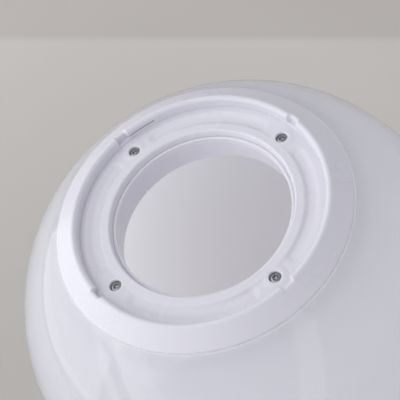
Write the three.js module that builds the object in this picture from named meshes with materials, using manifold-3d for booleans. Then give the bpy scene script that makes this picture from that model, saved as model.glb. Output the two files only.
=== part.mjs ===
// Balloon ceiling light: a blown balloon shade that twists onto a ceiling base with one bulb.
// Millimetres, +Z up. The origin is the centre of the base's ceiling face, and the light hangs below it.
// The shade is drawn lowered off its base, as it is held before it is lifted on and turned to lock.

import * as THREE from "three";
import { mergeVertices } from "three/addons/utils/BufferGeometryUtils.js";
import Module from "manifold-3d";

const wasm = await Module();
wasm.setup();

// Fits
const fitGap = 0.3; // between pieces that slip together
const cutOverrun = 1; // a cutter runs this far past the face that it opens

// Where the shade hangs
const shadeDrop = 320; // from its locked place
const ceilingGap = 0.5; // from the collar's rim to the ceiling when it is locked

// Collar screws, whose heads' tops are the zero height of the shade
const screwCircle = 54; // radius of the circle that they stand on
const screwHeadRadius = 2.8;
const screwHeadHeight = 1.9;
const screwShankRadius = 1.45;
const screwLength = 12;
const recessWidth = 0.8;
const recessReach = 1.5;
const recessDepth = 1.1;

// Collar
const padTop = 1; // the screws lie this far below the pads round them
const padHeight = 0.4;
const padRadius = 6;
const floorThickness = 2.2;
const collarBore = 46;
const lipRadius = 1.3; // rounding of the lip over the mouth
const ridgeWidth = 4;
const rimInner = 61.5;
const rimOuter = 64.9; // at the top of the skirt
const rimRise = 6.2; // from the floor to the rim's top
const rimRounding = 1.4;
const rimStart = 20; // degrees: the rounding begins where the skirt's slope meets it
const skirtFoot = 2; // width of the skirt's foot
const rimWall = 4.7; // from the rim's inner face to the hollow behind it
const rimHollow = 3.6; // height of that hollow over the floor's underside
const channelWidth = 7;
const channelDepth = 1.2;
const counterboreRadius = 3.3;
const bossRadius = 4.5;
const bossDrop = 2.4; // below the floor's underside

// Twist lock
const twistAngle = 15; // degrees from entered to locked
const lugWidth = 4.6;
const lugReach = 3.2; // beyond the plate's edge
const notchWidth = 5.6;
const notchCheek = 1.3; // the notch's side walls
const notchBack = 2.8; // the wall behind the notch
const notchTopDrop = 0.6; // from the rim's top to the top of that wall
const grooveSlack = 0.5; // under the lug

// Shade shell
const shadeRadius = 125;
const shellWall = 2.2;
const lowerTaper = 1.7; // exponent of the lower curve: 1 is a ball, more is more pointed
const mouthRadius = 45.5;
const shoulderRadius = 74; // where the round shell turns in to the sunk land
const shoulderRise = 1.84; // from the land to the shoulder's edge
const shoulderTurn = 2.4; // width of that turn
const neckRadius = 10;
const neckBore = 7;
const neckLength = 6;

// Gasket and clamp ring under the collar
const gasketThickness = 1;
const gasketInner = 46.6;
const gasketInset = 5.6; // from the shoulder's turn to the gasket's edge
const clampThickness = 2.2;
const clampLip = 44;
const clampLipRounding = 0.6;
const clampSkirtFoot = 46.4; // inner radius at the skirt's lower edge
const clampSkirtDepth = 17.2; // from the land's underside
const clampSkirtWall = 1.8;
const clampBossRadius = 4;
const clampBossLength = 7.5;

// Balloon knot
const knotRadius = 12;
const knotHeight = 9;
const waistRadius = 6.4;
const tailRadius = 14;
const tailHeight = 13;
const tailLip = 1.4;
const tailDish = 5; // how far the tail's end is hollowed
const spigotLength = 14;
const retainerRadius = 11;
const retainerThickness = 2;

// Ceiling plate, pressed from sheet
const plateSheet = 1;
const plateSlack = 1.5; // inside the collar's rim
const plateBend = 2;
const cupSlack = 4; // inside the clamp ring's lip
const cupDepth = 24; // from the ceiling
const cupBend = 3;
const sealThickness = 1;
const sealSlack = 2.5; // inside the collar's rim

// Ceiling strap and the two screws that hold the plate up to it
const strapLength = 100;
const strapWidth = 20;
const strapThickness = 2;
const slotInset = 10; // from the strap's end to the slot's middle
const slotLength = 12;
const slotWidth = 4.5;
const plateScrewSpacing = 56;
const plateScrewRadius = 2;
const plateScrewHead = 4;
const plateScrewHeadHeight = 2.6;
const washerRadius = 5;
const washerThickness = 0.8;

// Nipple that carries the lampholder
const nippleRadius = 5;
const nippleBore = 3.6;
const nippleDrop = 8; // below the cup
const nipplePast = 1.5; // beyond its nut
const nutFlats = 14;
const nutThickness = 3.5;

// Lampholder for an E27 cap
const holderRadius = 18;
const holderWall = 2.2;
const holderShoulder = 6;
const holderCapHeight = 16;
const sleeveRadius = 19.5;
const sleeveLength = 36;
const sleeveEdge = 1;
const ledgeInner = 14.5;
const ledgeThickness = 2;
const insertThickness = 6;
const insertDrop = 13; // from the cup to the insert's top
const postLength = 3;
const postWidth = 5;
const postHeight = 3;
const postReach = 10.8; // from the axis to the posts' near faces
const shellSheet = 0.4;
const threadPitch = 3.6;
const threadDepth = 0.5;
const threadTurns = 6;
const shellEye = 8; // radius of the eye round the centre contact
const tongueWidth = 5;
const tongueThickness = 0.5;
const tongueRoot = 7;
const tongueBend = 3.4;
const tongueTip = 2.4;
const tongueDrop = 3;

// Bulb
const bulbCapRadius = 12.9;
const bulbCapWall = 0.6;
const bulbContactRadius = 4.5;
const bulbContactThickness = 1.5;
const insulatorRadius = 9.5;
const insulatorThickness = 3;
const bulbCapLength = 23;
const housingLength = 16;
const housingSpigot = 16;
const globeRadius = 22.5;
const globeWall = 1.2;
const bulbLength = 76;
const boardRadius = 16;
const boardThickness = 1.5;

// Terminal block, on the cup's floor
const blockLength = 34;
const blockWidth = 15;
const blockHeight = 16;
const blockOffset = 20; // from the axis
const poleSpacing = 11;
const poleBore = 1.9;
const poleHeight = 8; // from the cup's floor to the bores
const terminalScrewRadius = 2.2;
const terminalScrewLength = 4.5;
const terminalScrewSink = 1;
const driverSlotWidth = 0.8;
const driverSlotDepth = 0.8;
const blockScrewRadius = 1.5;
const blockScrewHead = 2.6;
const blockScrewHeadHeight = 1.6;
const blockScrewSink = 4;

// Earth screw and tag, and the wires
const earthX = -20;
const earthY = -9;
const earthScrewRadius = 2;
const earthHeadRadius = 3.6;
const earthHeadHeight = 2.4;
const earthScrewTail = 3;
const tagThickness = 0.8;
const tagRadius = 4.2;
const tagNeck = 3;
const tagLength = 8.5;
const barrelLength = 5;
const barrelHeight = 3.4;
const wireRadius = 1.2;
const wirePair = 1.6; // from the axis, side by side in the nipple

// Facets
const shellFacets = 52;
const collarFacets = 60;
const plateFacets = 40;
const smallFacets = 20;
const threadFacets = 16;
const tinyFacets = 12;
const arcFacets = 5; // along a short sector
const wireFacets = 8;

// Heights in the shade's own frame, from the screw heads' tops
const screwSeat = -screwHeadHeight;
const floorTop = padTop - padHeight;
const floorUnder = floorTop - floorThickness;
const rimTop = floorTop + rimRise;
const landTop = floorUnder - gasketThickness;
const landUnder = landTop - shellWall;
const clampUnder = landUnder - clampThickness;
const shoulderZ = landTop + shoulderRise;
const centreZ = shoulderZ - Math.sqrt(shadeRadius ** 2 - shoulderRadius ** 2);
const skirtZ = shoulderZ + fitGap;
const innerRadius = shadeRadius - shellWall;
const neckFoot = centreZ - bellyDrop(shadeRadius, neckRadius) - neckLength;
const spigotRadius = neckBore - fitGap;

// Heights in the light's frame, from the ceiling
const seatedZ = -ceilingGap - rimTop;
const flangeUnder = seatedZ + padTop + fitGap + sealThickness;
const flangeTop = flangeUnder + plateSheet;
const cupUnder = -cupDepth;
const cupFloor = cupUnder + plateSheet;
const holderCapFoot = cupUnder - holderCapHeight;
const insertTop = cupUnder - insertDrop;
const insertUnder = insertTop - insertThickness;
const sleeveTop = holderCapFoot - fitGap;
const sleeveFoot = sleeveTop - sleeveLength;
const tongueFoot = insertUnder - tongueDrop - tongueThickness;
const bulbTop = tongueFoot - fitGap;
const insulatorTop = bulbTop - bulbContactThickness;
const bulbCapTop = insulatorTop - insulatorThickness;
const bulbCapFoot = bulbCapTop - bulbCapLength;
const housingFoot = bulbCapFoot - housingLength;
const globeCentre = bulbTop - bulbLength + globeRadius;

// Sizes that follow a neighbour
const gasketOuter = shoulderRadius - shoulderTurn - gasketInset;
const slotSpacing = strapLength - 2 * slotInset;
const plateRadius = rimInner - plateSlack;
const lugRadius = plateRadius + lugReach;
const notchDepthRadius = lugRadius + fitGap;
const cupRadius = clampLip - cupSlack;
const screwHole = screwShankRadius + fitGap;
const bossHole = bossRadius + fitGap;
const holderBore = holderRadius - holderWall;
const housingRadius = Math.sqrt(globeRadius ** 2 - (housingFoot - globeCentre) ** 2);

// Angles, in degrees
const screwAngles = [45, 135, 225, 315];
const lugHalfAngle = degrees(lugWidth / 2 / lugRadius);
const grooveHalfAngle = degrees(notchWidth / 2 / notchDepthRadius);
const channelTrim = degrees((padRadius + channelWidth / 2 + fitGap) / screwCircle);

const materials = {
  opal: { color: 0xe9e8f0, roughness: 0.22, metalness: 0 },
  collar: { color: 0xe6e5ee, roughness: 0.3, metalness: 0 },
  gasket: { color: 0x6f6d72, roughness: 0.9, metalness: 0 },
  foam: { color: 0xd5d3d0, roughness: 0.95, metalness: 0 },
  enamel: { color: 0xf0efec, roughness: 0.35, metalness: 0 },
  steel: { color: 0xb9bcc0, roughness: 0.3, metalness: 1 },
  brass: { color: 0xc9a24d, roughness: 0.3, metalness: 1 },
  aluminium: { color: 0xc7c9cc, roughness: 0.35, metalness: 1 },
  phenolic: { color: 0xeeece6, roughness: 0.5, metalness: 0 },
  dark: { color: 0x1d1d20, roughness: 0.5, metalness: 0 },
  nylon: { color: 0xdddccf, roughness: 0.5, metalness: 0 },
  brown: { color: 0x5c3420, roughness: 0.5, metalness: 0 },
  blue: { color: 0x2a5da8, roughness: 0.5, metalness: 0 },
  green: { color: 0x5d9a35, roughness: 0.5, metalness: 0 },
};

function degrees(radians) {
  return THREE.MathUtils.radToDeg(radians);
}

function radians(angle) {
  return THREE.MathUtils.degToRad(angle);
}

// The lower curve's radius is R cos(a)^taper at the drop R sqrt(taper) sin(a), so its curvature at the
// widest line is the ball's own.
function bellyPoint(radius, angle) {
  return [radius * Math.cos(angle) ** lowerTaper, -radius * Math.sqrt(lowerTaper) * Math.sin(angle)];
}

function bellyAngle(radius, reached) {
  return Math.acos((reached / radius) ** (1 / lowerTaper));
}

function bellyDrop(radius, reached) {
  return -bellyPoint(radius, bellyAngle(radius, reached))[1];
}

// Points of an arc in the (radius, height) plane, from one angle to the other in degrees
function arc(centreR, centreH, radius, from, to, steps) {
  return Array.from({ length: steps + 1 }, (_, i) => {
    const angle = radians(from + ((to - from) * i) / steps);
    return [centreR + radius * Math.cos(angle), centreH + radius * Math.sin(angle)];
  });
}

// A closed mesh as a solid: vertices merged by position, and the triangles that merging closes dropped
function solid(geometry) {
  const bare = geometry.clone();
  bare.deleteAttribute("normal");
  bare.deleteAttribute("uv");
  const merged = mergeVertices(bare);
  const corners = merged.index.array;
  const kept = [];
  for (let i = 0; i < corners.length; i += 3) {
    const [a, b, c] = [corners[i], corners[i + 1], corners[i + 2]];
    if (a !== b && b !== c && c !== a) kept.push(a, b, c);
  }
  const vertProperties = merged.getAttribute("position").array;
  return new wasm.Manifold(new wasm.Mesh({ numProp: 3, vertProperties, triVerts: new Uint32Array(kept) }));
}

// A solid turned about Z from a closed outline of [radius, height] points, counterclockwise
function turned(outline, facets) {
  const points = outline.map(([radius, height]) => new THREE.Vector2(radius, height));
  if (outline[0][0] > 0) points.push(points[0]);
  return solid(new THREE.LatheGeometry(points, facets).rotateX(Math.PI / 2));
}

function ring(inner, outer, low, high, facets) {
  return turned([[inner, low], [outer, low], [outer, high], [inner, high]], facets);
}

function drum(radius, low, high, facets) {
  return turned([[0, low], [radius, low], [radius, high], [0, high]], facets);
}

function block(x, y, z, width, depth, height) {
  return solid(new THREE.BoxGeometry(width, depth, height).translate(x, y, z));
}

// A piece of a flat ring between two angles in degrees
function sector(inner, outer, from, to, low, high, facets = arcFacets) {
  const shape = new THREE.Shape();
  shape.absarc(0, 0, outer, radians(from), radians(to), false);
  shape.absarc(0, 0, inner, radians(to), radians(from), true);
  const depth = high - low;
  const geometry = new THREE.ExtrudeGeometry(shape, { depth, bevelEnabled: false, curveSegments: facets });
  return solid(geometry.translate(0, 0, low));
}

function placed(piece, radius, angle, height = 0) {
  return piece.translate([radius * Math.cos(radians(angle)), radius * Math.sin(radians(angle)), height]);
}

// One copy of a piece at each screw, moved out to the screw circle
function atScrews(piece) {
  return screwAngles.map((angle) => placed(piece, screwCircle, angle));
}

// One copy of a piece at each screw's angle, turned about the axis
function turnedToScrews(piece) {
  return screwAngles.map((angle) => piece.rotate([0, 0, angle]));
}

function join(body, pieces) {
  return pieces.reduce((sum, piece) => sum.add(piece), body);
}

function cut(body, pieces) {
  return pieces.reduce((rest, piece) => rest.subtract(piece), body);
}

function mesh(name, body, look) {
  const { vertProperties, triVerts } = body.getMesh();
  const geometry = new THREE.BufferGeometry();
  geometry.setAttribute("position", new THREE.BufferAttribute(new Float32Array(vertProperties), 3));
  geometry.setIndex(new THREE.BufferAttribute(new Uint32Array(triVerts), 1));
  geometry.computeVertexNormals();
  const node = new THREE.Mesh(geometry, new THREE.MeshStandardMaterial(materials[look]));
  node.name = name;
  return node;
}

// The shell's outline, outside from the neck up to the mouth, then back down inside
function shadeShell() {
  const ballSteps = 7;
  const bellySteps = 9;
  const outside = [];
  const inside = [];
  const shoulderAngle = degrees(Math.acos(shoulderRadius / shadeRadius));
  const neckAngle = bellyAngle(shadeRadius, neckRadius);
  const boreAngle = bellyAngle(innerRadius, neckBore);
  for (let i = bellySteps; i > 0; i -= 1) {
    const [r, h] = bellyPoint(shadeRadius, (neckAngle * i) / bellySteps);
    outside.push([r, centreZ + h]);
  }
  outside.push(...arc(0, centreZ, shadeRadius, 0, shoulderAngle, ballSteps));
  outside.push([shoulderRadius - shoulderTurn, landTop]);
  const landHeight = landUnder - centreZ;
  const landAngle = degrees(Math.asin(landHeight / innerRadius));
  inside.push(...arc(0, centreZ, innerRadius, landAngle, 0, ballSteps));
  for (let i = 1; i <= bellySteps; i += 1) {
    const [r, h] = bellyPoint(innerRadius, (boreAngle * i) / bellySteps);
    inside.push([r, centreZ + h]);
  }
  const neck = [[neckBore, neckFoot], [neckRadius, neckFoot]];
  const mouth = [[mouthRadius, landTop], [mouthRadius, landUnder]];
  const body = turned([...neck, ...outside, ...mouth, ...inside], shellFacets);
  const hole = drum(bossHole, landUnder - cutOverrun, landTop + cutOverrun, tinyFacets);
  return mesh("shade_shell", cut(body, atScrews(hole)), "opal");
}

// The collar's outline: floor and rim underneath, skirt, rim, floor, ridge and lip
function collarBody() {
  const rimCrown = rimTop - rimRounding;
  const hollowR = rimInner + rimWall;
  const ridge = collarBore + lipRadius;
  return turned(
    [
      [collarBore, floorUnder],
      [hollowR, floorUnder],
      [hollowR, floorUnder + rimHollow],
      [shoulderRadius - skirtFoot, skirtZ],
      [shoulderRadius, skirtZ],
      [rimOuter, rimCrown],
      ...arc(rimOuter - rimRounding, rimCrown, rimRounding, rimStart, 90, 3),
      [rimInner + rimRounding / 2, rimTop],
      [rimInner, rimTop - rimRounding / 2],
      [rimInner, floorTop],
      [ridge + ridgeWidth, floorTop],
      [ridge + ridgeWidth - padHeight, padTop],
      ...arc(ridge, padTop - lipRadius, lipRadius, 90, 180, 3),
    ],
    collarFacets,
  );
}

// One notch with its outward block and the groove that the lug turns into, drawn at angle zero
function notchBlock() {
  const low = floorTop;
  const high = rimTop - notchTopDrop;
  const near = notchDepthRadius - notchCheek;
  const far = notchDepthRadius + notchBack;
  const width = notchWidth + 2 * notchCheek;
  return block((near + far) / 2, 0, (low + high) / 2, far - near, width, high - low);
}

function notchCutters() {
  const lugLow = flangeUnder - seatedZ;
  const low = lugLow - grooveSlack;
  const near = rimInner - cutOverrun;
  const high = rimTop + cutOverrun;
  const middle = (near + notchDepthRadius) / 2;
  const notch = block(middle, 0, (low + high) / 2, notchDepthRadius - near, notchWidth, high - low);
  const roof = lugLow + plateSheet + fitGap;
  const end = -twistAngle - grooveHalfAngle;
  return [notch, sector(near, notchDepthRadius, end, 0, low, roof)];
}

function channelCutter(angle) {
  const inner = screwCircle - channelWidth / 2;
  const outer = screwCircle + channelWidth / 2;
  const low = floorTop - channelDepth;
  const high = padTop + cutOverrun;
  const from = angle + channelTrim;
  const to = angle + 90 - channelTrim;
  const end = drum(channelWidth / 2, low, high, tinyFacets);
  const ends = [from, to].map((place) => placed(end, screwCircle, place));
  return [sector(inner, outer, from, to, low, high, tinyFacets), ...ends];
}

function collar() {
  const boss = drum(bossRadius, floorUnder - bossDrop, floorTop, tinyFacets);
  const pad = drum(padRadius, floorUnder, padTop, smallFacets);
  const bore = drum(counterboreRadius, screwSeat, padTop + cutOverrun, smallFacets);
  const hole = drum(screwHole, floorUnder - bossDrop - cutOverrun, floorTop, tinyFacets);
  let body = cut(collarBody(), screwAngles.flatMap(channelCutter));
  body = join(body, [...atScrews(boss), ...atScrews(pad), ...turnedToScrews(notchBlock())]);
  body = cut(body, [...atScrews(bore), ...atScrews(hole), ...notchCutters().flatMap(turnedToScrews)]);
  return mesh("collar", body, "collar");
}

// The two crossing slots of a driver recess, cut into a head's top
function crossRecess(reach, top) {
  const depth = 2 * recessDepth;
  return [block(0, 0, top, 2 * reach, recessWidth, depth), block(0, 0, top, recessWidth, 2 * reach, depth)];
}

function collarScrews() {
  const outline = [
    [0, screwSeat - screwLength],
    [screwShankRadius, screwSeat - screwLength + screwShankRadius],
    [screwShankRadius, screwSeat],
    [screwHeadRadius, screwSeat],
    [screwHeadRadius, -screwHeadHeight / 2],
    [screwHeadRadius - screwHeadHeight / 3, 0],
    [0, 0],
  ];
  const screw = cut(turned(outline, tinyFacets), crossRecess(recessReach, 0));
  return atScrews(screw).map((body, i) => mesh(`collar_screw_${i + 1}`, body, "steel"));
}

function neckGasket() {
  const body = ring(gasketInner, gasketOuter, landTop, floorUnder, plateFacets);
  const hole = drum(bossHole, landTop - cutOverrun, floorUnder + cutOverrun, tinyFacets);
  return mesh("neck_gasket", cut(body, atScrews(hole)), "gasket");
}

function clampRing() {
  const skirtLow = landUnder - clampSkirtDepth;
  const body = turned(
    [
      [clampSkirtFoot, skirtLow],
      [clampSkirtFoot + clampSkirtWall, skirtLow],
      [clampLip + clampSkirtWall, clampUnder],
      [gasketOuter, clampUnder],
      [gasketOuter, landUnder],
      [clampLip + clampLipRounding, landUnder],
      [clampLip, landUnder - clampLipRounding],
    ],
    plateFacets,
  );
  const boss = drum(clampBossRadius, clampUnder - clampBossLength, landUnder, tinyFacets);
  const bossFoot = clampUnder - clampBossLength;
  const hole = drum(screwHole, bossFoot - cutOverrun, landUnder + cutOverrun, tinyFacets);
  return mesh("clamp_ring", cut(join(body, atScrews(boss)), atScrews(hole)), "collar");
}

// The tied-off tail: a spigot up the neck, a round roll under it, a waist, and a flared, dished end
function balloonKnot() {
  const rollFoot = neckFoot - knotHeight;
  const tailFoot = rollFoot - tailHeight;
  const swell = knotRadius - knotHeight / 2;
  const body = turned(
    [
      [0, tailFoot + tailDish],
      [tailRadius - tailLip, tailFoot],
      [tailRadius, tailFoot],
      [tailRadius, tailFoot + tailLip],
      [(tailRadius + waistRadius) / 2, rollFoot - tailHeight / 2],
      [waistRadius, rollFoot - tailLip],
      [waistRadius, rollFoot],
      ...arc(swell, neckFoot - knotHeight / 2, knotHeight / 2, -90, 90, 6),
      [spigotRadius, neckFoot],
      [spigotRadius, neckFoot + spigotLength],
      [0, neckFoot + spigotLength],
    ],
    smallFacets,
  );
  return mesh("balloon_knot", body, "opal");
}

function knotRetainer() {
  const low = centreZ - bellyDrop(innerRadius, retainerRadius) + fitGap;
  const body = ring(spigotRadius + fitGap, retainerRadius, low, low + retainerThickness, smallFacets);
  return mesh("knot_retainer", body, "steel");
}

function shade() {
  const group = new THREE.Group();
  group.position.z = seatedZ - shadeDrop;
  group.add(shadeShell(), collar(), neckGasket(), clampRing(), balloonKnot(), knotRetainer());
  group.add(...collarScrews());
  return group;
}

function slot(x) {
  const span = slotLength - slotWidth;
  const low = -strapThickness - cutOverrun;
  const end = drum(slotWidth / 2, low, cutOverrun, tinyFacets);
  const ends = [-span / 2, span / 2].map((dx) => end.translate([x + dx, 0, 0]));
  return join(block(x, 0, (low + cutOverrun) / 2, span, slotWidth, cutOverrun - low), ends);
}

function ceilingStrap() {
  const body = block(0, 0, -strapThickness / 2, strapLength, strapWidth, strapThickness);
  const hole = drum(plateScrewRadius + fitGap, -strapThickness - cutOverrun, cutOverrun, tinyFacets);
  const cutters = [-1, 1].flatMap((side) => [
    slot((side * slotSpacing) / 2),
    hole.translate([(side * plateScrewSpacing) / 2, 0, 0]),
  ]);
  return mesh("ceiling_strap", cut(body, cutters), "steel");
}

// The pan: an edge wall up to the ceiling, a flat flange, and a deep cup in the middle
function ceilingPlate() {
  const body = turned(
    [
      [nippleRadius + fitGap, cupUnder],
      ...arc(cupRadius - cupBend, cupUnder + cupBend, cupBend, -90, 0, 3),
      [cupRadius, flangeUnder],
      ...arc(plateRadius - plateBend, flangeUnder + plateBend, plateBend, -90, 0, 2),
      [plateRadius, 0],
      [plateRadius - plateSheet, 0],
      ...arc(plateRadius - plateBend, flangeUnder + plateBend, plateBend - plateSheet, 0, -90, 2),
      [cupRadius - plateSheet, flangeTop],
      ...arc(cupRadius - cupBend, cupUnder + cupBend, cupBend - plateSheet, 0, -90, 3),
      [nippleRadius + fitGap, cupFloor],
    ],
    plateFacets,
  );
  const lugInner = plateRadius - plateBend;
  const lug = sector(lugInner, lugRadius, -lugHalfAngle, lugHalfAngle, flangeUnder, flangeTop);
  const hole = (radius, x, y) => {
    const bit = drum(radius + fitGap, cupUnder - cutOverrun, cupFloor + cutOverrun, tinyFacets);
    return bit.translate([x, y, 0]);
  };
  const holes = [
    hole(plateScrewRadius, -plateScrewSpacing / 2, 0),
    hole(plateScrewRadius, plateScrewSpacing / 2, 0),
    hole(earthScrewRadius, earthX, earthY),
    hole(blockScrewRadius, poleSpacing / 2, blockOffset),
  ];
  return mesh("ceiling_plate", cut(join(body, turnedToScrews(lug)), holes), "enamel");
}

function dustSeal() {
  const inner = cupRadius + fitGap;
  const outer = rimInner - sealSlack;
  const body = ring(inner, outer, flangeUnder - sealThickness, flangeUnder, plateFacets);
  return mesh("dust_seal", body, "foam");
}

function plateScrews() {
  const headTop = cupUnder - washerThickness;
  const headFoot = headTop - plateScrewHeadHeight;
  const outline = [
    [0, headFoot],
    [(plateScrewHead + plateScrewRadius) / 2, headFoot],
    [plateScrewHead, headTop - plateScrewHeadHeight / 2],
    [plateScrewHead, headTop],
    [plateScrewRadius, headTop],
    [plateScrewRadius, -fitGap],
    [0, -fitGap],
  ];
  const screw = cut(turned(outline, tinyFacets), crossRecess(plateScrewHead / 2, headFoot));
  const washer = ring(plateScrewRadius + fitGap, washerRadius, headTop, cupUnder, smallFacets);
  return [-1, 1].flatMap((side, i) => {
    const place = [(side * plateScrewSpacing) / 2, 0, 0];
    return [
      mesh(`canopy_screw_${i + 1}`, screw.translate(place), "steel"),
      mesh(`canopy_washer_${i + 1}`, washer.translate(place), "steel"),
    ];
  });
}

function nipple() {
  const high = cupFloor + nutThickness + nipplePast;
  return mesh("nipple", ring(nippleBore, nippleRadius, cupUnder - nippleDrop, high, smallFacets), "steel");
}

function nippleNut() {
  const high = cupFloor + nutThickness;
  const hexagon = drum(nutFlats / Math.sqrt(3), cupFloor, high, 6);
  const bore = drum(nippleRadius + fitGap, cupFloor - cutOverrun, high + cutOverrun, smallFacets);
  return mesh("nipple_nut", hexagon.subtract(bore), "steel");
}

function holderCap() {
  const bore = nippleRadius + fitGap;
  const shoulderR = holderRadius - holderShoulder;
  const shoulderH = cupUnder - holderShoulder;
  const body = turned(
    [
      [holderBore, holderCapFoot],
      [holderRadius, holderCapFoot],
      ...arc(shoulderR, shoulderH, holderShoulder, 0, 90, 4),
      [bore, cupUnder],
      [bore, cupUnder - holderWall],
      ...arc(shoulderR, shoulderH, holderShoulder - holderWall, 90, 0, 4),
    ],
    smallFacets,
  );
  return mesh("holder_cap", body, "phenolic");
}

function holderSleeve() {
  const inner = sleeveRadius - holderWall;
  const ledgeTop = insertUnder - fitGap;
  const ledgeUnder = ledgeTop - ledgeThickness;
  const body = turned(
    [
      [inner, sleeveFoot],
      [sleeveRadius - sleeveEdge / 2, sleeveFoot],
      [sleeveRadius, sleeveFoot + sleeveEdge],
      [sleeveRadius, sleeveTop - sleeveEdge],
      [sleeveRadius - sleeveEdge, sleeveTop],
      [holderBore, sleeveTop],
      [holderBore, ledgeTop],
      [ledgeInner, ledgeTop],
      [ledgeInner, ledgeUnder],
      [inner, ledgeUnder],
    ],
    smallFacets,
  );
  return mesh("holder_sleeve", body, "phenolic");
}

function holderInsert() {
  const body = drum(holderBore - fitGap, insertUnder, insertTop, smallFacets);
  const posts = [-1, 1].map((side) => {
    const x = side * (postReach + postLength / 2);
    return block(x, 0, insertTop, postLength, postWidth, 2 * postHeight);
  });
  return mesh("holder_insert", join(body, posts), "phenolic");
}

// The waved outline of a rolled thread, going down: crests at the radius, troughs a depth off it
function threadWave(radius, depth, top, turns) {
  return Array.from({ length: 2 * turns + 1 }, (_, i) => {
    return [radius + (i % 2 ? depth : 0), top - (i * threadPitch) / 2];
  });
}

function screwShell() {
  const inner = bulbCapRadius + fitGap;
  const start = insertUnder - threadPitch;
  const inside = threadWave(inner, threadDepth, start, threadTurns);
  const outside = threadWave(inner + shellSheet, threadDepth, start, threadTurns).reverse();
  const body = turned(
    [
      ...outside,
      [inner + shellSheet, insertUnder],
      [shellEye, insertUnder],
      [shellEye, insertUnder - shellSheet],
      [inner, insertUnder - shellSheet],
      ...inside,
    ],
    threadFacets,
  );
  return mesh("screw_shell", body, "brass");
}

// A springy tongue: flat against the insert, sloping down, and flat again over the bulb's contact
function centreContact() {
  const top = insertUnder;
  const foot = top - tongueDrop;
  const shape = new THREE.Shape();
  shape.moveTo(-tongueRoot, top - tongueThickness);
  shape.lineTo(-tongueBend - tongueThickness, top - tongueThickness);
  shape.lineTo(-tongueTip, foot - tongueThickness);
  shape.lineTo(tongueTip, foot - tongueThickness);
  shape.lineTo(tongueTip, foot);
  shape.lineTo(-tongueTip + tongueThickness, foot);
  shape.lineTo(-tongueBend, top);
  shape.lineTo(-tongueRoot, top);
  shape.closePath();
  const geometry = new THREE.ExtrudeGeometry(shape, { depth: tongueWidth, bevelEnabled: false });
  geometry.rotateX(Math.PI / 2).translate(0, tongueWidth / 2, 0);
  return mesh("centre_contact", solid(geometry), "brass");
}

function lampholder() {
  return [holderCap(), holderSleeve(), holderInsert(), screwShell(), centreContact()];
}

function bulbContact() {
  const r = bulbContactRadius;
  const outline = [[0, insulatorTop], [r, insulatorTop], [r / 2, bulbTop], [0, bulbTop]];
  return mesh("bulb_contact", turned(outline, smallFacets), "steel");
}

function bulbInsulator() {
  const low = bulbCapTop;
  const high = insulatorTop;
  const outline = [[0, low], [insulatorRadius, low], [bulbContactRadius, high], [0, high]];
  return mesh("bulb_insulator", turned(outline, smallFacets), "dark");
}

function bulbCap() {
  const start = bulbCapTop - threadPitch / 2;
  const wave = threadWave(bulbCapRadius - threadDepth, threadDepth, start, threadTurns - 1);
  const inner = bulbCapRadius - threadDepth - bulbCapWall;
  const body = turned(
    [
      [inner, bulbCapFoot],
      [bulbCapRadius, bulbCapFoot],
      ...wave.reverse(),
      [insulatorRadius, bulbCapTop],
      [0, bulbCapTop],
      [0, bulbCapTop - bulbCapWall],
      [inner - bulbCapWall, bulbCapTop - bulbCapWall],
      [inner, start - bulbCapWall],
    ],
    threadFacets,
  );
  return mesh("bulb_cap", body, "aluminium");
}

function bulbHousing() {
  const inner = bulbCapRadius - threadDepth - bulbCapWall - fitGap;
  const body = turned(
    [
      [0, housingFoot],
      [housingRadius, housingFoot],
      [housingRadius - threadDepth, housingFoot + housingLength / 4],
      [bulbCapRadius + globeWall, bulbCapFoot],
      [inner, bulbCapFoot],
      [inner, bulbCapFoot + housingSpigot],
      [0, bulbCapFoot + housingSpigot],
    ],
    smallFacets,
  );
  return mesh("bulb_housing", body, "phenolic");
}

function ledBoard() {
  const body = drum(boardRadius, housingFoot - boardThickness, housingFoot, smallFacets);
  return mesh("led_board", body, "aluminium");
}

function bulbGlobe() {
  const steps = 7;
  const inner = globeRadius - globeWall;
  const rise = housingFoot - globeCentre;
  const outside = arc(0, globeCentre, globeRadius, -90, degrees(Math.asin(rise / globeRadius)), steps);
  const inside = arc(0, globeCentre, inner, degrees(Math.asin(rise / inner)), -90, steps);
  outside[0][0] = 0;
  inside[steps][0] = 0;
  return mesh("bulb_globe", turned([...outside, ...inside], smallFacets), "opal");
}

function bulb() {
  return [bulbContact(), bulbInsulator(), bulbCap(), bulbHousing(), ledBoard(), bulbGlobe()];
}

const poles = [-1, 0, 1].map((place) => place * poleSpacing);

// Places on the wires' bends: shares of the pole's distance out and of the block face's distance from the
// axis on the way to the nipple, of the post's distance on the way out under it, and, for the earth wire,
// of the tag's distance, of the face's and of the climb from the tag to the pole
const overShares = [[0.72, 0.5], [0.23, 0.13]];
const outShares = [0.22, 0.5];
const earthShares = [[0.85, 0.7, 0.33], [0.45, 0.7, 0.67], [0.1, 0.75, 1]];

function terminalBlock() {
  const top = cupFloor + blockHeight;
  const bore = new THREE.CylinderGeometry(poleBore, poleBore, blockWidth + 2 * cutOverrun, tinyFacets);
  const well = drum(terminalScrewRadius + fitGap, cupFloor + poleHeight, top + cutOverrun, tinyFacets);
  const screwX = poleSpacing / 2;
  const cutters = poles.flatMap((x) => [
    solid(bore.clone().translate(x, blockOffset, cupFloor + poleHeight)),
    well.translate([x, blockOffset, 0]),
  ]);
  const shank = drum(blockScrewRadius + fitGap, cupFloor - cutOverrun, top, tinyFacets);
  const headSeat = top - blockScrewSink - blockScrewHeadHeight;
  const head = drum(blockScrewHead + fitGap, headSeat, top + cutOverrun, tinyFacets);
  cutters.push(shank.translate([screwX, blockOffset, 0]), head.translate([screwX, blockOffset, 0]));
  const body = block(0, blockOffset, cupFloor + blockHeight / 2, blockLength, blockWidth, blockHeight);
  return mesh("terminal_block", cut(body, cutters), "nylon");
}

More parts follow.
